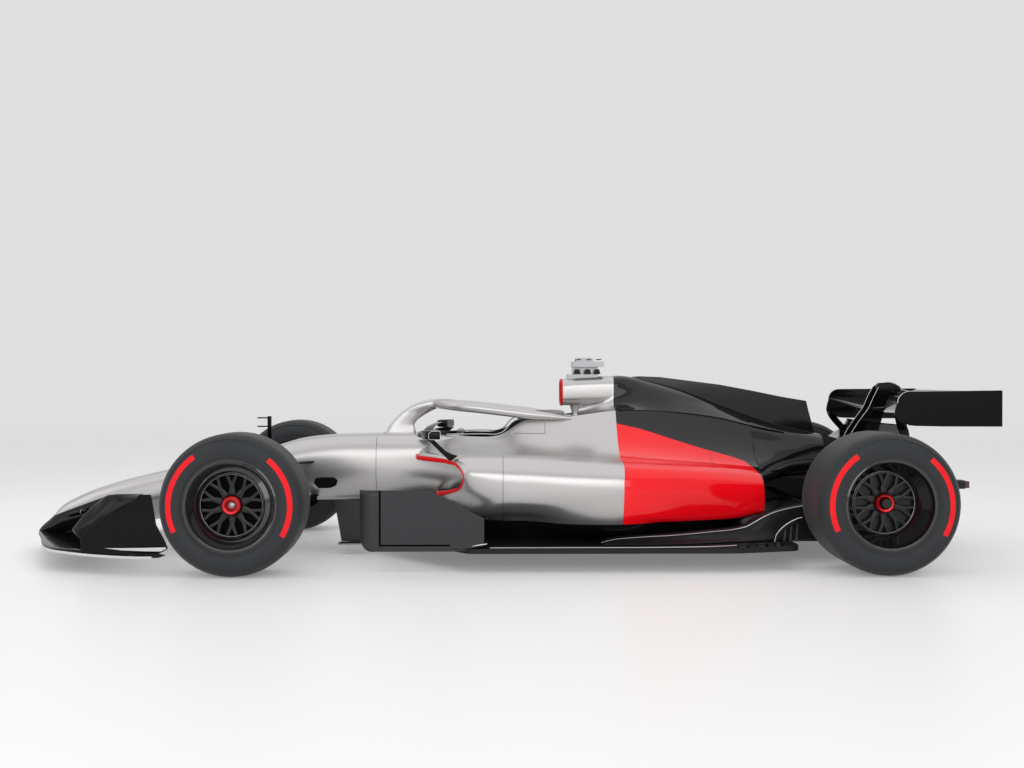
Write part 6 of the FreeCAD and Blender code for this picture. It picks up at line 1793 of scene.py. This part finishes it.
    def arm_slot(self, side: Side) -> None:
        """The dark openings in the chassis side where the upper arms go in, drawn as near-black plates:
        painted shade in the openings.

        Args:
            side: Left or right.
        """
        for index, outline in enumerate((
                [(0.284, 0.402), (0.296, 0.428), (0.330, 0.434), (0.400, 0.434), (0.420, 0.418),
                 (0.412, 0.388), (0.380, 0.374), (0.312, 0.372)],
                [(0.273, 0.330), (0.301, 0.332), (0.303, 0.296), (0.275, 0.294)])):
            face = [(x, (0.2045 + 0.035 * (x - 0.284)) * side.value, z) for x, z in outline]
            self.shop.plate(f"arm_slot_{side.word}_{index}", face, (0, -0.012 * side.value, 0),
                            "inside_black", bevel=0.001)
        plate = mirror([(0.437, 0.0, 0.673), (0.437, 0.030, 0.673), (0.585, 0.034, 0.675),
                        (0.585, 0.0, 0.675)], side)
        self.shop.plate(f"hatch_{side.word}", plate, (0, 0, -0.010), "pale_metal", bevel=0.001)

    def headrest(self) -> None:
        """The foam pad round the driver's head."""
        right = [(1.440, 0.205, 0.772), (1.520, 0.200, 0.782), (1.610, 0.178, 0.788), (1.668, 0.120, 0.790),
                 (1.690, 0.0, 0.790)]
        path = spline(right + [(x, -y, z) for x, y, z in right[-2::-1]], 8)
        piece = self.shop.sweep("headrest_pad", path, (0.030, 0.016), "headrest_foam", sides=20,
                                power=0.6, replaces=("headrest",))
        for lift, shrink in ((0.0150, 1.045), (0.0148, 0.955)):
            narrow = 1 + (shrink - 1) * 2.2
            seam = [(1.44 + (x - 1.44) * shrink, y * narrow, z + lift) for x, y, z in path]
            self.shop.sweep(f"headrest_seam_{int(shrink * 1000)}", seam, (0.0016, 0.0016), "grip_suede",
                            sides=8)

    def screen(self) -> None:
        """The low dark deflector ahead of the cockpit."""
        rows = []
        for rise, back in ((0.0, 0.0), (0.018, 0.014), (0.030, 0.030)):
            z = 0.670 + rise
            rows.append(both_sides([(0.925 + back, 0.0, z), (0.934 + back, 0.080, z),
                                    (0.966 + back, 0.165, z), (1.030 + back, 0.215, z)]))
        self.shop.skin("windscreen", surface(rows, 3, 5), "gloss_black", thick=0.003, angle=60)


# Finishes of the solids


@dataclass
class Carriage:
    """Gives each solid that stays in view its own finish."""

    finishes: Finishes
    nodes: dict[str, bpy.types.Object]
    wanted = {
        "gloss_black": ("front_wing_mainplane", "front_wing_flaps", "rear_wing_mainplane", "rear_wing_flap",
                        "sensor_mast", "front_wishbones", "rear_wishbones"),
        "matt_carbon": ("diffuser", "seat", "gearbox_case", "rear_crash_structure", "front_left_upright",
                        "front_right_upright", "rear_left_upright", "rear_right_upright"),
        "grey_metal": ("camera_platform", "drive_shafts", "engine_block"),
        "floor_carbon": ("floor",),
        "plank_wood": ("plank",),
        "grip_suede": ("steering_wheel",),
        "headrest_foam": ("headrest",),
        "lamp_lens": ("rear_light",),
        "exhaust_metal": ("exhaust_tailpipe",),
    }

    def dress(self) -> None:
        """Assigns the finishes."""
        for finish, names in self.wanted.items():
            for name in names:
                materials = self.nodes[name].data.materials
                materials.clear()
                materials.append(self.finishes[finish])
        LOG.info("Solids dressed")


# Studio


@dataclass(frozen=True)
class Lamp:
    """One wide soft light, with where it stands and where it points."""

    name: str
    place: Point
    aim: Point
    size: Pair
    power: float


@dataclass
class Studio:
    """Camera, lights, floor and backdrop."""

    camera_place: Point = (-0.0268, -6.0631, 0.9937)
    camera_turn: Point = (math.pi / 2 - 0.0052, 0.0, -0.0100)
    lens: float = 36.26
    sensor: float = 36.0
    backdrop: float = 0.74
    sky: float = 0.5
    floor_colour: Point = (0.80, 0.80, 0.80)
    floor_glow: float = 0.18
    clear_floor: float = 4.5
    floor_end: float = 22.0
    lamps: tuple[Lamp, ...] = (
        Lamp("overhead", (0.0, 0.0, 5.5), (0.0, 0.0, 0.0), (14.0, 9.0), 190.0),
        Lamp("front_bank", (0.0, -8.0, 2.8), (0.0, 0.0, 0.2), (12.0, 4.0), 270.0),
        Lamp("nose_bank", (-6.5, -2.0, 3.0), (0.0, 0.0, 0.4), (3.0, 3.0), 25.0),
    )

    def build(self) -> None:
        """Sets the whole studio up."""
        self.camera()
        self.world()
        self.floor()
        for lamp in self.lamps:
            self.light(lamp)
        bpy.context.scene.view_settings.view_transform = "Standard"

    def camera(self) -> None:
        """The photograph's viewpoint."""
        data = bpy.data.cameras.new("photo_view")
        data.sensor_width = self.sensor
        data.lens = self.lens
        data.clip_end = 200.0
        camera = bpy.data.objects.new("photo_view", data)
        camera.location = self.camera_place
        camera.rotation_euler = self.camera_turn
        bpy.context.scene.collection.objects.link(camera)
        bpy.context.scene.camera = camera

    def world(self) -> None:
        """Pale to the camera and in reflections, softer as a light."""
        world = bpy.data.worlds.new("pale_room")
        world.use_nodes = True
        world.node_tree.nodes.clear()
        graph = Graph(world.node_tree)
        path = graph.add("ShaderNodeLightPath").outputs
        seen = graph.larger(path["Is Camera Ray"], path["Is Transmission Ray"])
        seen = graph.larger(seen, path["Is Glossy Ray"])
        strength = graph.plus(graph.times(seen, self.backdrop - self.sky), self.sky)
        back = graph.add("ShaderNodeBackground", {"Color": (1, 1, 1, 1), "Strength": strength})
        graph.add("ShaderNodeOutputWorld", {"Surface": back.outputs[0]})
        bpy.context.scene.world = world

    def floor(self) -> None:
        """A pale, slightly glossy floor that melts into the backdrop far from the car."""
        mesh = bpy.data.meshes.new("studio_floor")
        reach = self.floor_end
        mesh.from_pydata([(-reach, -reach, 0), (reach, -reach, 0), (reach, reach, 0), (-reach, reach, 0)],
                         [], [(0, 1, 2, 3)])
        floor = bpy.data.objects.new("studio_floor", mesh)
        bpy.context.scene.collection.objects.link(floor)
        material = bpy.data.materials.new("studio_floor")
        material.use_nodes = True
        graph = Graph(material.node_tree)
        shader = material.node_tree.nodes["Principled BSDF"]
        away = graph.add("ShaderNodeVectorMath", {0: graph.place()}, operation="LENGTH").outputs["Value"]
        fade = graph.math("DIVIDE", graph.minus(away, self.clear_floor), self.floor_end - self.clear_floor,
                          clamp=True)
        graph.fill(shader, {"Base Color": rgba(self.floor_colour), "Emission Color": (1.0, 1.0, 1.0, 1.0),
                            "Emission Strength": self.floor_glow, "Roughness": 0.4,
                            "Specular IOR Level": 0.3,
                            "Alpha": graph.minus(1.0, graph.math("POWER", fade, 0.6), clamp=True)})
        mesh.materials.append(material)

    @staticmethod
    def light(lamp: Lamp) -> None:
        """Hangs one lamp up.

        Args:
            lamp: The lamp's place, aim, size and power.
        """
        data = bpy.data.lights.new(lamp.name, "AREA")
        data.shape = "RECTANGLE"
        data.size, data.size_y = lamp.size
        data.energy = lamp.power
        hung = bpy.data.objects.new(lamp.name, data)
        hung.location = lamp.place
        hung.rotation_euler = (Vector(lamp.aim) - Vector(lamp.place)).to_track_quat("-Z", "Y").to_euler()
        bpy.context.scene.collection.objects.link(hung)


# The whole car


class Car:
    """The whole car, sub-assembly by sub-assembly."""

    front = WheelSize(half_width=0.145, tyre_radius=WHEEL_HEIGHT, lip_radius=0.232, spoke_radius=0.153,
                      dish=0.088, hub_face=0.085)
    rear = WheelSize(half_width=0.190, tyre_radius=WHEEL_HEIGHT, lip_radius=0.229, spoke_radius=0.152,
                     dish=0.066, hub_face=0.068)

    def __init__(self, frame: dict) -> None:
        """Makes the finishes and the workshop.
        """
        self.frame = frame
        self.finishes = Finishes()
        self.shop = Workshop(self.finishes)

    def build(self) -> None:
        """Makes and dresses every sub-assembly."""
        Carriage(self.finishes, self.frame["nodes"]).dress()
        BodyShell(self.shop).build()
        Cockpit(self.shop).build()
        FrontWing(self.shop).build()
        RearWing(self.shop).build()
        Underfloor(self.shop).build()
        for side in Side:
            Wheel(self.shop, "front", side, self.front).build()
            Wheel(self.shop, "rear", side, self.rear).build()
        LOG.info("%d pieces made", self.shop.count)


def main() -> None:
    """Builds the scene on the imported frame."""
    logging.basicConfig(level=logging.INFO, format="%(message)s")
    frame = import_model()
    Studio().build()
    Car(frame).build()
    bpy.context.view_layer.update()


if __name__ == "__main__":
    main()
